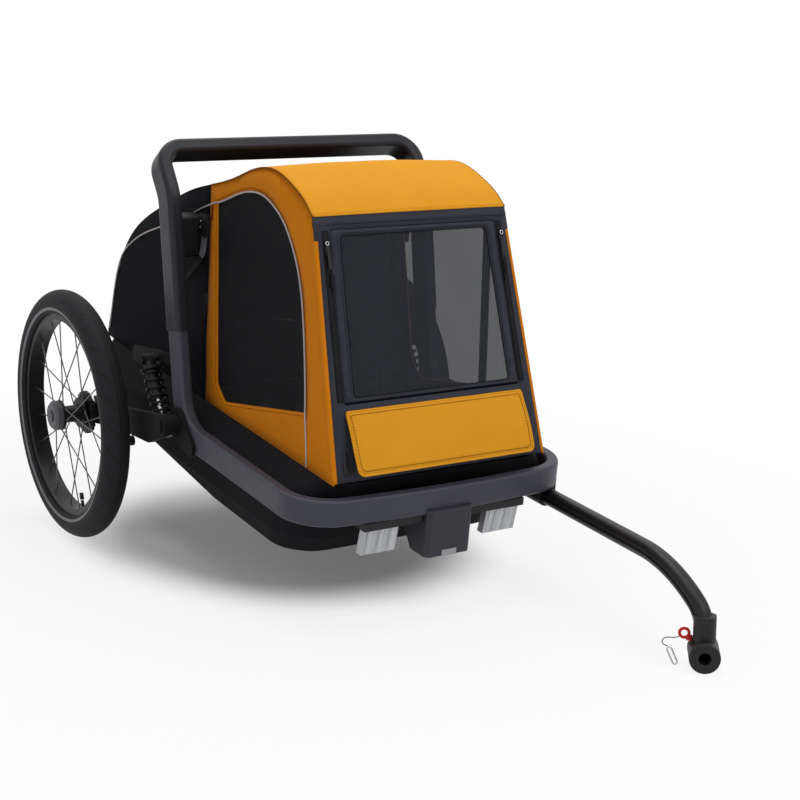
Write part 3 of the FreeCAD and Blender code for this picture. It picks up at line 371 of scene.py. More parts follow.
def tyre_finish(side, sign):
    """Rubber with a pale sidewall ring, and slanted cuts across the tread."""
    ring_r, ring_half, ring_from = 0.1705, 0.0022, 0.008
    tread_r, tread_fade, groove_half = 0.184, 200.0, 0.0012
    cut_count, cut_slant, cut_share, cut_from = 30.0, 260.0, 0.955, 0.0045
    finish = Finish("tyre_rubber_" + side)
    x, y, z = finish.axes(finish.place(shift=(-sign * AXLE_X, -AXLE_Y, -AXLE_Z)))
    square = y * y + z * z
    radius = square.maths("SQRT", square)
    angle = y.maths("ARCTAN2", z, y)
    lateral = abs(x)
    slant = angle * cut_count + lateral * cut_slant
    slant = slant.maths("SINE", slant)
    tread = (radius - tread_r) * tread_fade
    tread = tread.maths("MAXIMUM", tread, 0.0)
    tread = tread.maths("MINIMUM", tread, 1.0)
    cut = (slant > cut_share) * tread * (lateral > cut_from)
    groove = (lateral < groove_half) * tread
    ring = (abs(radius - ring_r) < ring_half) * (lateral > ring_from)
    dust = finish.grain(60.0, 4.0, 0.6)
    base = finish.blend(dust, tone(34, 34, 38), tone(23, 23, 26))
    base = finish.blend(ring, base, tone(120, 121, 124))
    # The tread's cuts and centre groove are painted near black: painted shade in the recesses.
    base = finish.blend(cut.maths("MAXIMUM", cut, groove) * 0.85, base, tone(14, 14, 15))
    finish.surface(
        Base_Color=base,
        Roughness=0.72 - ring * 0.25 + (dust - 0.5) * 0.1,
        Normal=finish.relief(0.5 - cut * 0.5 - groove * 0.4 + dust * 0.06, 0.7, 0.0016),
        Specular_IOR_Level=0.2,
    )
    return finish


def hub_finish(side):
    """Black hub whose outer cap is grey."""
    cap_depth = 0.0125
    name = "hub_" + side
    low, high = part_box(name)
    outer = max(abs(low.x), abs(high.x))
    finish = Finish(name + "_plastic")
    x = finish.axes()[0]
    speck = finish.grain(520.0, 2.0, 0.6)
    cap = abs(x) > outer - cap_depth
    base = finish.blend(speck, tone(28, 28, 31), tone(18, 18, 21))
    finish.surface(
        Base_Color=finish.blend(cap, base, tone(92, 93, 97)), Roughness=0.5 + (speck - 0.5) * 0.1,
        Normal=finish.relief(speck, 0.2, 0.0004), Specular_IOR_Level=0.3,
    )
    return finish


def lens_finish():
    """Clear ribbed plastic over a mirrored back."""
    finish = Finish("clear_lens")
    ribs = finish.ribs(0.018, "X")
    cloud = finish.grain(30.0, 3.0, 0.5)
    # The colour runs lighter and darker with the ribs: painted light and shade on the ribs, over a cloudy
    # grain.
    base = finish.blend(ribs * 0.6 + cloud * 0.4, tone(158, 160, 166), tone(206, 208, 212))
    finish.surface(
        Base_Color=base, Roughness=0.24 + cloud * 0.1, Normal=finish.relief(ribs, 0.3, 0.0012),
        Coat_Weight=0.6, Coat_Roughness=0.08, Metallic=0.15,
    )
    return finish


clear_lens = lens_finish()


def add(name, data):
    thing = bpy.data.objects.new(name, data)
    bpy.context.scene.collection.objects.link(thing)
    return thing


def piece(name, points, faces, finish, body, out=None, smooth=True):
    """Mesh object on a body; out is a way that most of its faces look."""
    mesh = bpy.data.meshes.new(name)
    mesh.from_pydata([tuple(p) for p in points], [], faces)
    mesh.update()
    work = bmesh.new()
    work.from_mesh(mesh)
    bmesh.ops.remove_doubles(work, verts=work.verts, dist=0.00002)
    if out is None:
        bmesh.ops.recalc_face_normals(work, faces=work.faces)
    else:
        facing = sum((f.normal * f.calc_area() for f in work.faces), Vector())
        if facing.dot(Vector(out)) < 0:
            bmesh.ops.reverse_faces(work, faces=work.faces)
    work.to_mesh(mesh)
    work.free()
    if smooth:
        mesh.polygons.foreach_set("use_smooth", [True] * len(mesh.polygons))
    mesh.materials.append(finish.material)
    thing = add(name, mesh)
    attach(thing, body)
    return thing


def thicken(thing, thick=CLOTH, lining=None):
    """Gives a cloth its thickness, with another finish on the inner side if one is named."""
    wall = thing.modifiers.new("cloth", "SOLIDIFY")
    wall.thickness = thick
    wall.offset = -1.0
    if lining:
        thing.data.materials.append(lining.material)
        wall.material_offset = 1


def grid_faces(rows, columns, keep=lambda r, c: True):
    faces = []
    for r in range(rows - 1):
        for c in range(columns - 1):
            if keep(r, c):
                a = r * columns + c
                faces.append((a, a + 1, a + columns + 1, a + columns))
    return faces


def spaced(loop, step, closed=True):
    """Points along a loop, no further apart than a step."""
    made = []
    ends = list(zip(loop, loop[1:] + loop[:1])) if closed else list(zip(loop, loop[1:]))
    for a, b in ends:
        parts = max(1, math.ceil(math.hypot(b[0] - a[0], b[1] - a[1]) / step))
        made += [(a[0] + (b[0] - a[0]) * k / parts, a[1] + (b[1] - a[1]) * k / parts) for k in range(parts)]
    return made if closed else made + [tuple(loop[-1])]


def inside(point, loop):
    x, y = point
    hit = False
    for (ax, ay), (bx, by) in zip(loop, loop[1:] + loop[:1]):
        if (ay > y) != (by > y) and x < (bx - ax) * (y - ay) / (by - ay) + ax:
            hit = not hit
    return hit


def rounded(loop, radii, parts=6):
    """Loop with its corners rounded by the radius given for each."""
    made = []
    count = len(loop)
    for i, radius in enumerate(radii):
        a, b, c = Vector(loop[i - 1]), Vector(loop[i]), Vector(loop[(i + 1) % count])
        if radius <= 0:
            made.append(tuple(b))
            continue
        first, last = (a - b).normalized(), (c - b).normalized()
        reach = radius / math.tan(first.angle(last) / 2)
        centre = b + (first + last).normalized() * (radius / math.sin(first.angle(last) / 2))
        start, end = b + first * reach - centre, b + last * reach - centre
        for k in range(parts + 1):
            arm = start.lerp(end, k / parts).normalized() * radius
            made.append(tuple(centre + arm))
    return made


def fill(loop, holes, step):
    """Triangles over a flat outline with holes."""
    loops = [spaced(loop, step)] + [spaced(hole, step) for hole in holes]
    points, edges = [], []
    for ring in loops:
        start = len(points)
        points += ring
        edges += [(start + k, start + (k + 1) % len(ring)) for k in range(len(ring))]
    rim = list(points)
    low = [min(p[i] for p in loop) for i in range(2)]
    high = [max(p[i] for p in loop) for i in range(2)]
    for i in range(int((high[0] - low[0]) / step) + 1):
        for j in range(int((high[1] - low[1]) / step) + 1):
            spot = (low[0] + (i + 0.5 * (j % 2)) * step, low[1] + (j + 0.3) * step * 0.87)
            if not inside(spot, loops[0]) or any(inside(spot, ring) for ring in loops[1:]):
                continue
            if min((spot[0] - p[0]) ** 2 + (spot[1] - p[1]) ** 2 for p in rim) > (0.55 * step) ** 2:
                points.append(spot)
    found, _, faces, *_ = delaunay_2d_cdt([Vector(p) for p in points], edges, [], 0, 1e-4)
    kept = []
    for face in faces:
        middle = [sum(found[k][i] for k in face) / len(face) for i in range(2)]
        if inside(middle, loops[0]) and not any(inside(middle, ring) for ring in loops[1:]):
            kept.append(tuple(face))
    return [tuple(p) for p in found], kept


def drape(x, y, z, size, depth):
    """Small slack in a taut cloth, the same every run."""
    return depth * noise.noise(Vector((x, y, z)) / size)


def tube(name, path, radius, finish, body, sides=8):
    """Round trim along a line of points, with closed ends."""
    points, faces = [], []
    count = len(path)
    guide = Vector((0.31, 0.52, 0.79))
    for i, here in enumerate(path):
        ahead = (path[min(i + 1, count - 1)] - path[max(i - 1, 0)]).normalized()
        across = ahead.cross(guide).normalized()
        rise = across.cross(ahead)
        for k in range(sides):
            turn = 2 * math.pi * k / sides
            points.append(here + (across * math.cos(turn) + rise * math.sin(turn)) * radius)
    for i in range(count - 1):
        for k in range(sides):
            a, b = i * sides + k, i * sides + (k + 1) % sides
            faces.append((a, b, b + sides, a + sides))
    faces.append(tuple(range(sides)))
    faces.append(tuple(range((count - 1) * sides, count * sides)))
    return piece(name, points, faces, finish, body)


def repeat_tree():
    """Geometry Nodes: one small block set along a line at an even pitch."""
    tree = bpy.data.node_groups.new("set_along_line", "GeometryNodeTree")
    face = tree.interface
    face.new_socket("Line", in_out="INPUT", socket_type="NodeSocketGeometry")
    for name in ("Pitch", "Width", "Height", "Length"):
        face.new_socket(name, in_out="INPUT", socket_type="NodeSocketFloat")
    face.new_socket("Finish", in_out="INPUT", socket_type="NodeSocketMaterial")
    face.new_socket("Blocks", in_out="OUTPUT", socket_type="NodeSocketGeometry")
    given, made, curve, spots, size, block, copies, real, paint = (tree.nodes.new(kind) for kind in (
        "NodeGroupInput", "NodeGroupOutput", "GeometryNodeMeshToCurve", "GeometryNodeCurveToPoints",
        "ShaderNodeCombineXYZ", "GeometryNodeMeshCube", "GeometryNodeInstanceOnPoints",
        "GeometryNodeRealizeInstances", "GeometryNodeSetMaterial"))
    spots.mode = "LENGTH"
    for source, result, target, slot in (
        (given, "Line", curve, "Mesh"), (curve, "Curve", spots, "Curve"), (given, "Pitch", spots, "Length"),
        (given, "Width", size, "X"), (given, "Height", size, "Y"), (given, "Length", size, "Z"),
        (size, "Vector", block, "Size"), (spots, "Points", copies, "Points"),
        (spots, "Rotation", copies, "Rotation"), (block, "Mesh", copies, "Instance"),
        (copies, "Instances", real, "Geometry"), (real, "Geometry", paint, "Geometry"),
        (given, "Finish", paint, "Material"), (paint, "Geometry", made, "Blocks"),
    ):
        tree.links.new(source.outputs[result], target.inputs[slot])
    return tree


line_tree = repeat_tree()


def along(name, paths, finish, body, pitch, width, height, length):
    """Small blocks, such as stitches or zip teeth, along lines of points."""
    points, edges = [], []
    for path in paths:
        start = len(points)
        points += [tuple(p) for p in path]
        edges += [(start + k, start + k + 1) for k in range(len(path) - 1)]
    mesh = bpy.data.meshes.new(name + "_line")
    mesh.from_pydata(points, edges, [])
    carrier = add(name + "_line", mesh)
    rule = carrier.modifiers.new("set", "NODES")
    rule.node_group = line_tree
    sizes = {"Pitch": pitch, "Width": width, "Height": height, "Length": length, "Finish": finish.material}
    for item in line_tree.interface.items_tree:
        if item.in_out == "INPUT" and item.name in sizes:
            rule[item.identifier] = sizes[item.name]
    bpy.context.view_layer.update()
    view = bpy.context.evaluated_depsgraph_get()
    plain = bpy.data.meshes.new_from_object(carrier.evaluated_get(view), depsgraph=view)
    plain.name = name
    thing = add(name, plain)
    bpy.data.objects.remove(carrier)
    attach(thing, body)
    return thing


# Roof and rear canopy: one curved skin, split where the colour changes
def make_roof():
    rows, columns = 56, 49
    points = []
    for i in range(rows):
        u = SPLIT_U * i / (rows - 1)
        y, z, _ = seam_at(u)
        for j in range(columns):
            s = -1 + 2 * j / (columns - 1)
            slack = (1 - s ** 6) * math.sin(math.pi * min(1, i / (rows - 1) + 0.05))
            points.append(on_roof(u, s, slack * drape(150 * s, y, z, 80, 1.2) + 0.2))
    roof = piece("roof_cloth", points, grid_faces(rows, columns), orange_cloth, "chassis", (0, 0, 1))
    thicken(roof, lining=black_cloth)
    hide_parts("roof_panel")
    for name, sign in SIDES:
        path = [on_roof(SPLIT_U * i / 70, sign, -0.5) for i in range(71)]
        tube("roof_seam_" + name, path, 0.0010, dark_thread, "chassis", 6)
    hem = [on_roof(0.001, -0.985 + 1.97 * i / 60, -0.3) for i in range(61)]
    tube("roof_hem", hem, 0.0015, orange_cloth, "chassis")


def canopy_u(z, s):
    return seam_share(lambda p: p[1] + p[2] * (1 - s * s) - z if p[0] > SPLIT_Y - 6 else 1.0)


def make_canopy():
    split_z, high_z, low_z, foot_z = 405.0, 305.0, 118.0, 94.0
    half, rear_y, skirt_z = 148.0, 132.0, CABIN_FLOOR + 0.4
    corner_x, corner_y, corner_r = 138.0, 94.0, 40.0
    top_rows, door_rows, foot_rows, edge_columns, door_columns = 18, 22, 5, 5, 34
    first_row, last_row = top_rows, top_rows + door_rows
    first_column, last_column = edge_columns, edge_columns + door_columns
    places = []
    bands = ((top_rows, None, high_z), (door_rows, high_z, low_z), (foot_rows, low_z, foot_z))
    for count, top, bottom in bands:
        places += [(top, bottom, k / count) for k in range(count)]
    places.append((low_z, foot_z, 1.0))
    cells = ((-1.0, -half, edge_columns), (-half, half, door_columns), (half, 1.0, edge_columns))
    rows, columns = len(places) + 2, last_column + edge_columns + 1

    points = []
    for top, bottom, share in places:
        for first, last, count in cells:
            for k in range(count if first != half else count + 1):
                wide = side_x((bottom + (top or split_z)) / 2)
                for _ in range(2):
                    ends = [v * wide if abs(v) == 1.0 else v for v in (first, last)]
                    x = ends[0] + (ends[1] - ends[0]) * (k / count)
                    s = x / wide
                    start = SPLIT_U if top is None else canopy_u(top, s)
                    u = start + (canopy_u(bottom, s) - start) * share
                    y, z, crown = seam_at(u)
                    wide = side_x(z)
                s = max(-1.0, min(1.0, x / wide))
                along_u = min(1.0, max(0.0, (u - SPLIT_U) / (1 - SPLIT_U)))
                slack = (1 - s ** 6) * math.sin(math.pi * along_u) * drape(x, y, z, 80, 2.2)
                points.append(row(s * wide, y + 0.3 * slack, z + crown * (1 - s * s) + slack))
    # Two more rows: the skirt at the tub, and its tuck over the tub's rounded corners
    skirt = [p.x * 1000 for p in points[-columns:]]
    points += [row(x, rear_y, skirt_z) for x in skirt]
    tuck = [corner_y + math.sqrt(corner_r ** 2 - max(0.0, abs(x) - corner_x) ** 2) for x in skirt]
    points += [row(x, min(y, rear_y) - 1.2, skirt_z) for x, y in zip(skirt, tuck)]

    def door_cell(r, c):
        return first_row <= r < last_row and first_column <= c < last_column

    canopy = piece("canopy_cloth", points, grid_faces(rows, columns, lambda r, c: not door_cell(r, c)),
                   black_cloth, "chassis", (0, 0.6, 1))
    thicken(canopy)
    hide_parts("rear_canopy")
    middle = points[(first_row + last_row) // 2 * columns + (first_column + last_column) // 2]
    across = range(first_column, last_column + 1)
    keep = [r * columns + c for r in range(first_row, last_row + 1) for c in across]
    order = {old: new for new, old in enumerate(keep)}
    leaf = [middle + (points[i] - middle) * 0.9965 for i in keep]
    faces = [tuple(order[i] for i in face) for face in grid_faces(rows, columns, door_cell)]
    door = piece("rear_door_cloth", leaf, faces, black_cloth, "rear_door", (0, 1, 0.3))
    thicken(door)
    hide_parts("rear_door")
    rim = [points[r * columns + first_column] for r in range(last_row, first_row - 1, -1)]
    rim += [points[first_row * columns + c] for c in range(first_column + 1, last_column)]
    rim += [points[r * columns + last_column] for r in range(first_row, last_row + 1)]
    tape = [p + Vector((0, 0.0008, 0.0004)) for p in rim]
    tube("rear_zip_tape", tape, 0.002, black_thread, "chassis")
    teeth = [p + Vector((0, 0.0024, 0.0012)) for p in rim[2:-2]]
    along("rear_zip_teeth", [teeth], black_steel, "chassis", *REAR_TOOTH)


# Sides: orange panel with a mesh window, black panel behind it
def make_sides():
    seam = [seam_at(SPLIT_U * k / 40) for k in range(41)]
    front_panel = [(y + 1.2, z - 1.2) for y, z, _ in seam]
    edge = [(front_y(CABIN_FLOOR) + 1.5, CABIN_FLOOR), (front_y(415) + 1.5, 415.0)]
    outline = edge + front_panel[:-1] + [SPLIT_HEAD, SPLIT_FOOT]
    top = [tuple(p) for p in line_points(WINDOW_EDGE, 40)]
    window = top + rounded([top[-1], *WINDOW_FOOT, top[0]], [0, 16, 16, 0])[1:-1]
    rear_seam = [seam_at(SPLIT_U + (1 - SPLIT_U) * k / 50) for k in range(51)]
    rear = [(y - 0.3, z - 0.5) for y, z, _ in rear_seam if z > 96]
    rear = [SPLIT_FOOT, SPLIT_HEAD] + rear[1:] + [(131.6, 93.0), (131.6, CABIN_FLOOR + 0.4)]
    flat, faces = fill(outline, [window], 14.0)
    back_flat, back_faces = fill(rear, [], 16.0)
    net_flat, net_faces = fill(window, [], 14.0)
    pipes = (
        ("window_piping_", 0.7, line_points(list(WINDOW_EDGE) + [(-541, 122), (-549, 87)], 90)),
        ("rear_piping_", 0.9, line_points(REAR_PIPE, 70)),
    )
    slope = (SPLIT_HEAD[0] - SPLIT_FOOT[0]) / (SPLIT_HEAD[1] - SPLIT_FOOT[1])
    strip = [(SPLIT_FOOT[0] + (11 + k * 6) * slope - 4, 96 + k * 6) for k in range(48)]
    mid_y, mid_z = (sum(p[i] for p in window) / len(window) for i in range(2))
    hem = [(mid_y + (y - mid_y) * 1.03, mid_z + (z - mid_z) * 1.03) for y, z in spaced(window, 6.0)]
    wrap_foot, wrap_head, wrap_rows = 88, 392, 46
    wrap_profile = [(0.3, -7.0), (0.5, -4.0), (0.2, -1.4), (-1.2, 0.4), (-3.0, 0.7), (-5.6, 0.5)]
    for name, sign in SIDES:
        out = (sign, 0, 0)
        points = [on_side(sign, y, z, -0.6 + drape(y, z, 40 * sign, 60, 1.0)) for y, z in flat]
        # The side panel takes the darker copy of the orange cloth, as painted shade.
        panel = piece("side_cloth_" + name, points, faces, shaded_orange_cloth, "chassis", out)
        thicken(panel, lining=black_cloth)
        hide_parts("side_panel_" + name)
        points = [on_side(sign, y, z, -1.6 + drape(y, z, 90 * sign, 80, 1.2)) for y, z in net_flat]
        net = piece("side_mesh_" + name, points, net_faces, side_mesh, "chassis", out)
        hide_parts("side_net_" + name)
        points = [on_side(sign, y, z, -0.4 + drape(y, z, 130 * sign, 75, 1.6)) for y, z in back_flat]
        panel = piece("rear_side_cloth_" + name, points, back_faces, black_cloth, "chassis", out)
        thicken(panel)
        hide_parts("rear_side_" + name)

        for start, lift, line in pipes:
            tube(start + name, [on_side(sign, y, z, lift) for y, z in line], 0.0013, piping_cord, "chassis")
        lines = [[on_side(sign, y, z, 0.5) for y, z in line] for line in (strip, hem)]
        along("side_stitches_" + name, lines, dark_thread, "chassis", *SIDE_STITCH)
        tack = [[on_side(sign, y + 1.2 * k, z, 0.6) for y, z in ((-211, 358), (-209, 378))] for k in range(3)]
        along("side_tack_" + name, tack, red_thread, "chassis", *TACK_STITCH)

        rim = []
        for k in range(wrap_rows):
            z = wrap_foot + (wrap_head - wrap_foot) * k / (wrap_rows - 1)
            rim += [on_front(sign * (side_x(z) + across), z, lift) for across, lift in wrap_profile]
        wrap_faces = grid_faces(wrap_rows, len(wrap_profile))
        # The edge wrap takes the darker copy of the orange cloth, as painted shade.
        wrap = piece("edge_wrap_" + name, rim, wrap_faces, shaded_orange_cloth, "chassis", (sign, -1, 0))
        thicken(wrap, 0.0009)


# Front: charcoal surround, and the zipped door with its net
def make_front():
    steps = [(z, side_x(z) - 4.6) for z in (88.0, 392.0)] + [(z, side_x(z) - 0.6) for z in (393.0, 423.0)]
    outline = [(half, z) for z, half in steps] + [(-half, z) for z, half in reversed(steps)]
    opening = quad(door_half(DOOR_FOOT), DOOR_FOOT, door_half(DOOR_HEAD), DOOR_HEAD)
    opening = rounded(opening, [2, 2, 8, 8])
    flat, faces = fill(outline, [opening], 13.0)
    ahead = row(*OUT) - row(0, 0, 0)
    points = [on_front(x, z, 0.2 + drape(x, z, 11, 50, 0.5)) for x, z in flat]
    panel = piece("front_cloth", points, faces, charcoal_cloth, "chassis", ahead)
    thicken(panel, lining=black_cloth)
    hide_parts("front_panel")

    leaf = rounded(quad(144.0, 187.0, 136.0, 405.0), [2, 2, 7, 7])
    gap = rounded(quad(129.0, 192.0, 121.0, 397.0), [5, 5, 6, 6])
    flat, faces = fill(leaf, [gap], 9.0)
    points = [on_front(x, z, 0.3) for x, z in flat]
    door = piece("door_border", points, faces, charcoal_cloth, "front_door", ahead)
    thicken(door)
    net_flat, net_faces = fill(gap, [], 11.0)
    points = [on_front(x, z, -0.5 + drape(x, z, 23, 60, 1.8) * math.cos(x / 130 * 1.5)) for x, z in net_flat]
    net = piece("door_mesh", points, net_faces, front_mesh, "front_door", ahead)
    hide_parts("front_door")
    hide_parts("front_net")
    ring = spaced(gap, 4.0)
    centre, hem_foot = Vector((0, 294)), 197
    hem = [centre + (Vector(p) - centre) * 1.03 for p in ring]
    hem = [on_front(p.x, p.y, 0.7) for p in hem if p.y > hem_foot]
    along("door_stitches", [hem], black_thread, "front_door", *FINE_STITCH)
    bead = [on_front(x, z, 0.1) for x, z in ring + ring[:1]]
    tube("door_binding", bead, 0.0008, black_thread, "front_door", 6)

    inner = rounded(quad(139.0, 190.5, 131.0, 399.0), [4, 4, 5, 5])
    flat, faces = fill(quad(150.0, 179.0, 141.0, 410.0), [inner], 12.0)
    stop = piece("door_stop", [on_front(x, z, -2.0) for x, z in flat], faces, black_cloth, "chassis", ahead)
    thicken(stop, 0.0006)

    line = [DOOR_FOOT + 4 + k * 7.2 for k in range(31)]
    tape_profile = ((0.6, 0.4), (2.6, 1.0), (5.0, 0.5), (6.0, 0.5), (7.0, 0.5), (9.4, 1.0), (11.4, 0.4))
    for name, sign in SIDES:
        tape = []
        for z in line:
            tape += [on_front(sign * (door_half(z) + across), z, lift - 0.2) for across, lift in tape_profile]
        faces = grid_faces(len(line), len(tape_profile))
        strip = piece("zip_tape_" + name, tape, faces, black_thread, "chassis", ahead)
        thicken(strip, 0.0005)
        teeth = [on_front(sign * (door_half(z) + 6), z, 0.55) for z in line]
        along("zip_teeth_" + name, [teeth], black_steel, "chassis", *ZIP_TOOTH)
        tail = [(150, 352, 4.2), (149, 346, 3.8), (151, 338, 3.0), (149, 330, 2.6), (150, 324, 2.4)]
        path = line_points([(sign * (a - 6), b, c) for a, b, c in tail], 21)
        tube("zip_tail_" + name, [on_front(*p) for p in path], 0.0013, black_thread, "zip_slider_" + name)
        eye = [2 * math.pi * k / 16 for k in range(17)]
        eye = [on_front(sign * (144.4 + 2.4 * math.sin(t)), 388 + 2.4 * math.cos(t), 5.4) for t in eye]
        tube("zip_eye_" + name, eye, 0.0007, bright_steel, "zip_slider_" + name, 6)
    band = [[on_front(x * 5.0, 411.5, 0.7) for x in range(-30, 31)]]
    along("band_stitches", band, black_thread, "chassis", *FINE_STITCH)


# Flap over the door's foot, bent where it leaves the front
def make_flap():
    hinge_z, hinge_lift = 175.0, 2.1
    top = Vector((front_y(hinge_z), hinge_z)) + Vector((OUT.y, OUT.z)) * hinge_lift
    foot = Vector((-638.0, 101.0))
    way = (foot - top).normalized()
    lift = Vector((way.y, -way.x))
    length = (foot - top).length
    half = 145.5
    outline = rounded([(-half, 0.0), (half, 0.0), (half + 1, length * 0.62), (half, length), (-half, length),
                       (-half - 1, length * 0.62)], [3, 3, 30, 9, 9, 30])

    def spot(x, d, rise=0.0):
        share = d / length
        swell = 2.6 * math.sin(math.pi * min(1.0, share * 1.15)) - 1.6 * max(0.0, share - 0.6)
        rim = min(1.0, (half - abs(x) + 3) / 12, (length - d + 3) / 12)
        put = top + way * d + lift * (1.5 + swell * (0.5 + 0.5 * rim) + drape(x, d, 7, 45, 1.0) * rim + rise)
        return row(x, put.x, put.y)

    flat, faces = fill(outline, [], 8.0)
    ahead = row(0, -1, 0.25) - row(0, 0, 0)
    flap = piece("flap_cloth", [spot(x, d) for x, d in flat], faces, orange_cloth, "front_flap", ahead)
    thicken(flap, 0.0026)
    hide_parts("front_flap")
    ring = spaced(outline, 3.0)
    middle = length / 2
    hem = [(x * 0.968, middle + (d - middle) * 0.885) for x, d in ring]
    hem = [spot(x, d, 0.2) for x, d in hem + hem[:1]]
    seam = along("flap_stitches", [hem], dark_thread, "front_flap", *FLAP_STITCH)
    edge = [spot(x, d, -1.0) for x, d in ring + ring[:1]]
    bead = tube("flap_binding", edge, 0.0017, orange_cloth, "front_flap")


def make_mat():
    """Padded floor mat: a closed shell that swells under its own pressure."""
    floor = ((-509.0, -46.0), (-300.0, -46.0), (-57.0, -11.0), (34.0, 3.6))
    sample = smooth_line(floor)
    rows, columns, half, thick, gap = 58, 32, 140.0, 4.4, 0.8
    steps, most = 12, 0.003
    top, low = [], []
    for i in range(rows):
        y, z = sample(i / (rows - 1))
        for j in range(columns):
            x = -half + 2 * half * j / (columns - 1)
            edge = 0.5 if i in (0, rows - 1) or j in (0, columns - 1) else 1.0
            top.append(row(x, y, z + gap + thick * (0.5 + 0.5 * edge)))
            low.append(row(x, y, z + gap + thick * (0.5 - 0.5 * edge)))
    count = rows * columns
    faces = grid_faces(rows, columns)
    faces += [tuple(count + k for k in reversed(face)) for face in grid_faces(rows, columns)]
    ring = list(range(columns)) + [i * columns + columns - 1 for i in range(1, rows)]
    ring += [(rows - 1) * columns + j for j in range(columns - 2, -1, -1)]
    ring += [i * columns for i in range(rows - 2, 0, -1)]
    faces += [(a, b, b + count, a + count) for a, b in zip(ring, ring[1:] + ring[:1])]
    mat = piece("floor_pad", top + low, faces, mat_cloth, "chassis")
    rest = [v.co.copy() for v in mat.data.vertices]
    cloth = mat.modifiers.new("swell", "CLOTH")
    rule = cloth.settings
    rule.use_pressure = True
    rule.uniform_pressure_force = 4.0
    rule.effector_weights.gravity = 0.0
    rule.tension_stiffness = 40
    rule.quality = 4
    scene = bpy.context.scene
    for number in range(1, steps + 1):
        scene.frame_set(number)
    view = bpy.context.evaluated_depsgraph_get()
    swelled = [v.co.copy() for v in mat.evaluated_get(view).data.vertices]
    mat.modifiers.remove(cloth)
    scene.frame_set(1)
    for vertex, before, after in zip(mat.data.vertices, rest, swelled):
        move = after - before
        move.z = max(move.z, 0.0)
        if move.length > most:
            move = move.normalized() * most
        vertex.co = before + move
    mat.data.update()
    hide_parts("floor_mat")


def make_straps():
    """Webbing from each buckle, folded back behind the frame, and the buckle's rivets."""
    points, faces = [], []
    steps, thick = 30, 1.5
    # Y, Z, lift off the side and half width along the strap
    sample = smooth_line((
        (-194, 329, 2.0, 8.0), (-194, 318, 2.2, 8.0), (-194, 306, 2.8, 7.6), (-191, 295, 4.0, 6.4),
        (-182, 282, 5.2, 5.0), (-167, 267, 6.0, 4.4), (-150, 250, 6.4, 4.4),
    ))
    for name, sign in SIDES:
        start = len(points)
        for k in range(steps + 1):
            y, z, lift, half = sample(k / steps)
            before, after = sample(k / steps - 0.02), sample(k / steps + 0.02)
            ahead = Vector((after[0] - before[0], after[1] - before[1]))
            across = Vector((-ahead.y, ahead.x)).normalized() * half
            for side, rise in ((-1, 0.0), (1, 0.0), (1, thick), (-1, thick)):
                points.append(on_side(sign, y + across.x * side, z + across.y * side, lift + rise))
        for k in range(steps):
            for c in range(4):
                a, b = start + k * 4 + c, start + k * 4 + (c + 1) % 4
                faces.append((a, b, b + 4, a + 4))
        faces += [tuple(start + c for c in range(4)), tuple(start + steps * 4 + c for c in range(4))]
        for k, z in enumerate((350, 341)):
            rivet = [on_side(sign, -185, z, 6.4), on_side(sign, -185, z, 7.5)]
            tube(f"buckle_rivet_{k}_{name}", rivet, 0.0016, bright_steel, "chassis", 10)
    straps = piece("web_straps", points, faces, webbing, "chassis", None, False)
    straps.data.materials.append(black_thread.material)
    fold = row(0, -191, 297).z
    for face in straps.data.polygons:
        face.material_index = int(face.center.z < fold)
    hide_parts("straps")


def make_lanyard():
    route = (
        (114.89, -990.08, 39.75), (110.39, -986.34, 37.8), (105.39, -982.19, 38.84), (100.39, -978.04, 37.54),
        (98.39, -976.38, 32.6), (100.39, -978.04, 28.05), (104.39, -981.36, 26.75),
    )
    spots = [Vector((x / 1000, AXLE_Y + y / 1000, z / 1000)) for x, y, z in route]
    data = bpy.data.curves.new("lanyard_cord", "CURVE")
    data.dimensions = "3D"
    data.bevel_depth = 0.0007
    data.bevel_resolution = 3
    data.use_fill_caps = True
    line = data.splines.new("NURBS")
    line.points.add(len(spots) - 1)
    for point, spot in zip(line.points, spots):
        point.co = (*spot, 1.0)
    line.order_u = 3
    line.use_endpoint_u = True
    data.materials.append(cord_weave.material)
    cord = add("lanyard_cord", data)
    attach(cord, "lock_pin")
    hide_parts("lanyard")


def make_trim():
    """Tyre valves, tabs at the front's foot, and the reflectors' ribs."""
    valve_x, turn = 295, math.radians(-112)
    ahead = row(*OUT) - row(0, 0, 0)
    for name, sign in SIDES:
        for title, ends, radius in (("valve_", (153, 140), 0.0026), ("valve_cap_", (139, 128), 0.0034)):
            path = [row(sign * valve_x, r * math.cos(turn), r * math.sin(turn)) for r in ends]
            tube(title + name, path, radius, black_plastic, "wheel_" + name, 10)
        tab = rounded([(150.0, 96.0), (160.0, 96.0), (158.0, 128.0), (152.0, 128.0)], [2, 2, 2, 2])
        flat, faces = fill(tab, [], 6.0)
        points = [on_front(sign * x, z, 2.2) for x, z in flat]
        thicken(piece("foot_tab_" + name, points, faces, black_plastic, "chassis", ahead), 0.002)
    lines = []
    for centre in (-102, 102):
        for k in range(5):
            x = centre - 18 + 9 * k
            lines.append([row(x, -634.2, 15.0), row(x, -627.6, -18.0)])
    along("lens_ribs", lines, clear_lens, "chassis", *LENS_RIB)


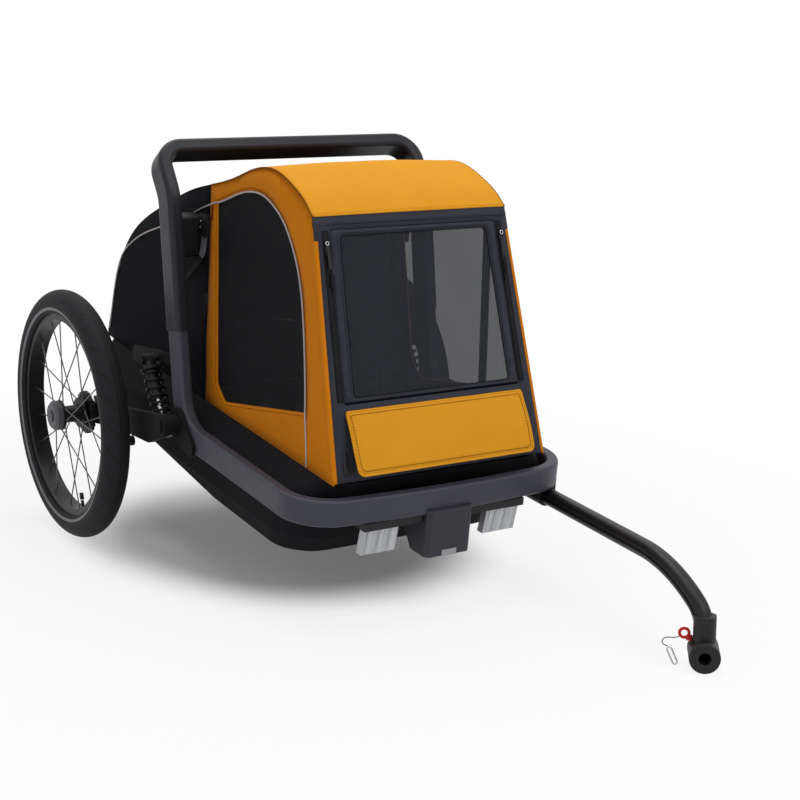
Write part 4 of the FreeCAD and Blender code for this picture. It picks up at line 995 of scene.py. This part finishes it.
def make_springs():
    """Coil on each shock."""
    x, low, high = 232.0, Vector((-222.0, 36.0)), Vector((-150.0, 130.0))
    reach, axis = (high - low).length, (high - low).normalized()
    seat, clear, coil_r, wire_r, turns, stroke = 19.0, 3.0, 13.0, 2.0, 6, 5.5
    first, last = seat + clear, reach - seat - clear
    steps = 28 * turns
    top = low + axis * (reach - seat)
    for name, sign in SIDES:
        path = []
        for k in range(-1, steps + 2):
            angle = 2 * math.pi * turns * k / steps
            spot = low + axis * (first + (last - first) * k / steps)
            spot += Vector((axis.y, -axis.x)) * coil_r * math.sin(angle)
            path.append(row(sign * (x + coil_r * math.cos(angle)), *spot))
        coil = tube("shock_coil_" + name, path, wire_r / 1000, black_steel, "chassis", 12)
        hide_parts("coil_spring_" + name)
        way = row(0, *axis) - row(0, 0, 0)
        tuple(row(sign * x, *top))
        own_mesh(coil)


# Finishes of the rigid pieces
CAD_FINISH = {name: finish for finish, names in (
    (black_steel, "rim front_hoop rear_hoop tow_arm"),
    (spoke_steel, "spokes"), (grey_plastic, "hub_button"), (frame_paint, "frame_hoop"),
    (bar_paint, "handlebar"), (tub_plastic, "tub"), (block_plastic, "wheel_socket_block"),
    (pale_plastic, "release_tab"), (clear_lens, "reflectors"), (red_plastic, "lock_pin"),
    (black_plastic, "zip_slider reflector_beam upright_guides buckles shock_body "
     "brake_lever arm_receiver coupling_head arm_collar"),
    (dark_casting, "suspension_bracket swing_arm upper_bracket"),
    (bright_steel, "shock_rod lanyard_clip"),
) for name in names.split()}


def finish_rigid():
    own = {"tyre_" + side: tyre_finish(side, sign) for side, sign in SIDES}
    own.update({"hub_" + side: hub_finish(side) for side, sign in SIDES})
    for name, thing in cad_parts.items():
        base = name.rsplit("_", 1)[0] if name.endswith(("_left", "_right")) else name
        made = own.get(name) or CAD_FINISH.get(base)
        if made is None:
            continue
        for slot in thing.material_slots:
            slot.material = made.material


def seen_directly(tree):
    """1 on the rays that show a surface as it is, 0 on those that only light others."""
    path = tree.nodes.new("ShaderNodeLightPath")
    first, second, third = (Value(tree, path.outputs[kind]) for kind in VIEW_RAYS)
    total = first + second + third
    return total.maths("MINIMUM", total, 1.0)


def make_floor():
    """Pale floor that turns white away from a soft patch of shade under the trailer."""
    reach = 14.0
    centre, half = (-0.02, 0.25), (0.3, 0.4)
    inner, rim, far = 0.7, 1.14, 4.0
    mesh = bpy.data.meshes.new("floor")
    corners = [(-reach, -reach, 0), (reach, -reach, 0), (reach, reach, 0), (-reach, reach, 0)]
    mesh.from_pydata(corners, [], [(0, 1, 2, 3)])
    floor = add("floor", mesh)
    pale = Finish("pale_floor")
    pale.surface(Base_Color=(0.9, 0.9, 0.9, 1), Roughness=0.9, Specular_IOR_Level=0.1)
    x, y, _ = pale.axes(pale.place(
        shift=(-centre[0] / half[0], -centre[1] / half[1], 0), scale=(1 / half[0], 1 / half[1], 1)))
    away = x.maths("SQRT", x * x + y * y)
    share = pale.node("ShaderNodeMapRange", {"interpolation_type": "SMOOTHSTEP"}, {
        "Value": away, "From Min": inner, "From Max": rim, "To Min": 0.1, "To Max": 0.8})
    share = share + pale.node("ShaderNodeMapRange", None, {
        "Value": away, "From Min": rim, "From Max": far, "To Min": 0.0, "To Max": 0.2})
    glow = pale.node("ShaderNodeEmission", None, {"Color": (1, 1, 1, 1), "Strength": 1.0})
    mixed = pale.node("ShaderNodeMixShader", None, {
        0: seen_directly(pale.tree) * share, 1: Value(pale.tree, pale.shader.outputs[0]), 2: glow})
    pale.tree.links.new(mixed.socket, pale.output.inputs[0])
    mesh.materials.append(pale.material)


def make_stage():
    scene = bpy.context.scene
    scene.view_settings.view_transform = "Standard"
    make_floor()

    world = bpy.data.worlds.new("studio")
    scene.world = world
    world.use_nodes = True
    tree = world.node_tree
    tree.nodes.clear()
    pick = tree.nodes.new("ShaderNodeMixShader")
    output = tree.nodes.new("ShaderNodeOutputWorld")
    tree.links.new(seen_directly(tree).socket, pick.inputs[0])
    for slot, strength in ((1, 0.28), (2, 1.0)):
        light = tree.nodes.new("ShaderNodeBackground")
        light.inputs["Color"].default_value = (1, 1, 1, 1)
        light.inputs["Strength"].default_value = strength
        tree.links.new(light.outputs[0], pick.inputs[slot])
    tree.links.new(pick.outputs[0], output.inputs[0])

    for name, spot, aim, size, power in (
        ("key", (0.9, -2.6, 3.4), (0, 0, 0.3), 2.4, 60.0),
        ("side", (-3.2, -1.2, 1.0), (0, 0, 0.25), 2.2, 11.0),
        ("top", (0.2, 0.8, 3.6), (0, 0.1, 0.3), 2.6, 62.0),
    ):
        data = bpy.data.lights.new(name, "AREA")
        data.shape = "SQUARE"
        data.size = size
        data.energy = power
        lamp = add(name, data)
        lamp.location = spot
        lamp.rotation_euler = (Vector(aim) - Vector(spot)).to_track_quat("-Z", "Y").to_euler()

    camera_data = bpy.data.cameras.new("camera")
    camera_data.lens = 74.475
    camera_data.sensor_width = 36.0
    camera = add("camera", camera_data)
    camera.location = (-1.265, -2.05145, 0.747)
    camera.rotation_euler = Vector((0.5325, 0.8231, -0.1975)).to_track_quat("-Z", "Y").to_euler()
    scene.camera = camera


make_roof()
make_canopy()
make_sides()
make_front()
make_flap()
make_mat()
make_straps()
make_lanyard()
make_trim()
make_springs()
finish_rigid()
make_stage()
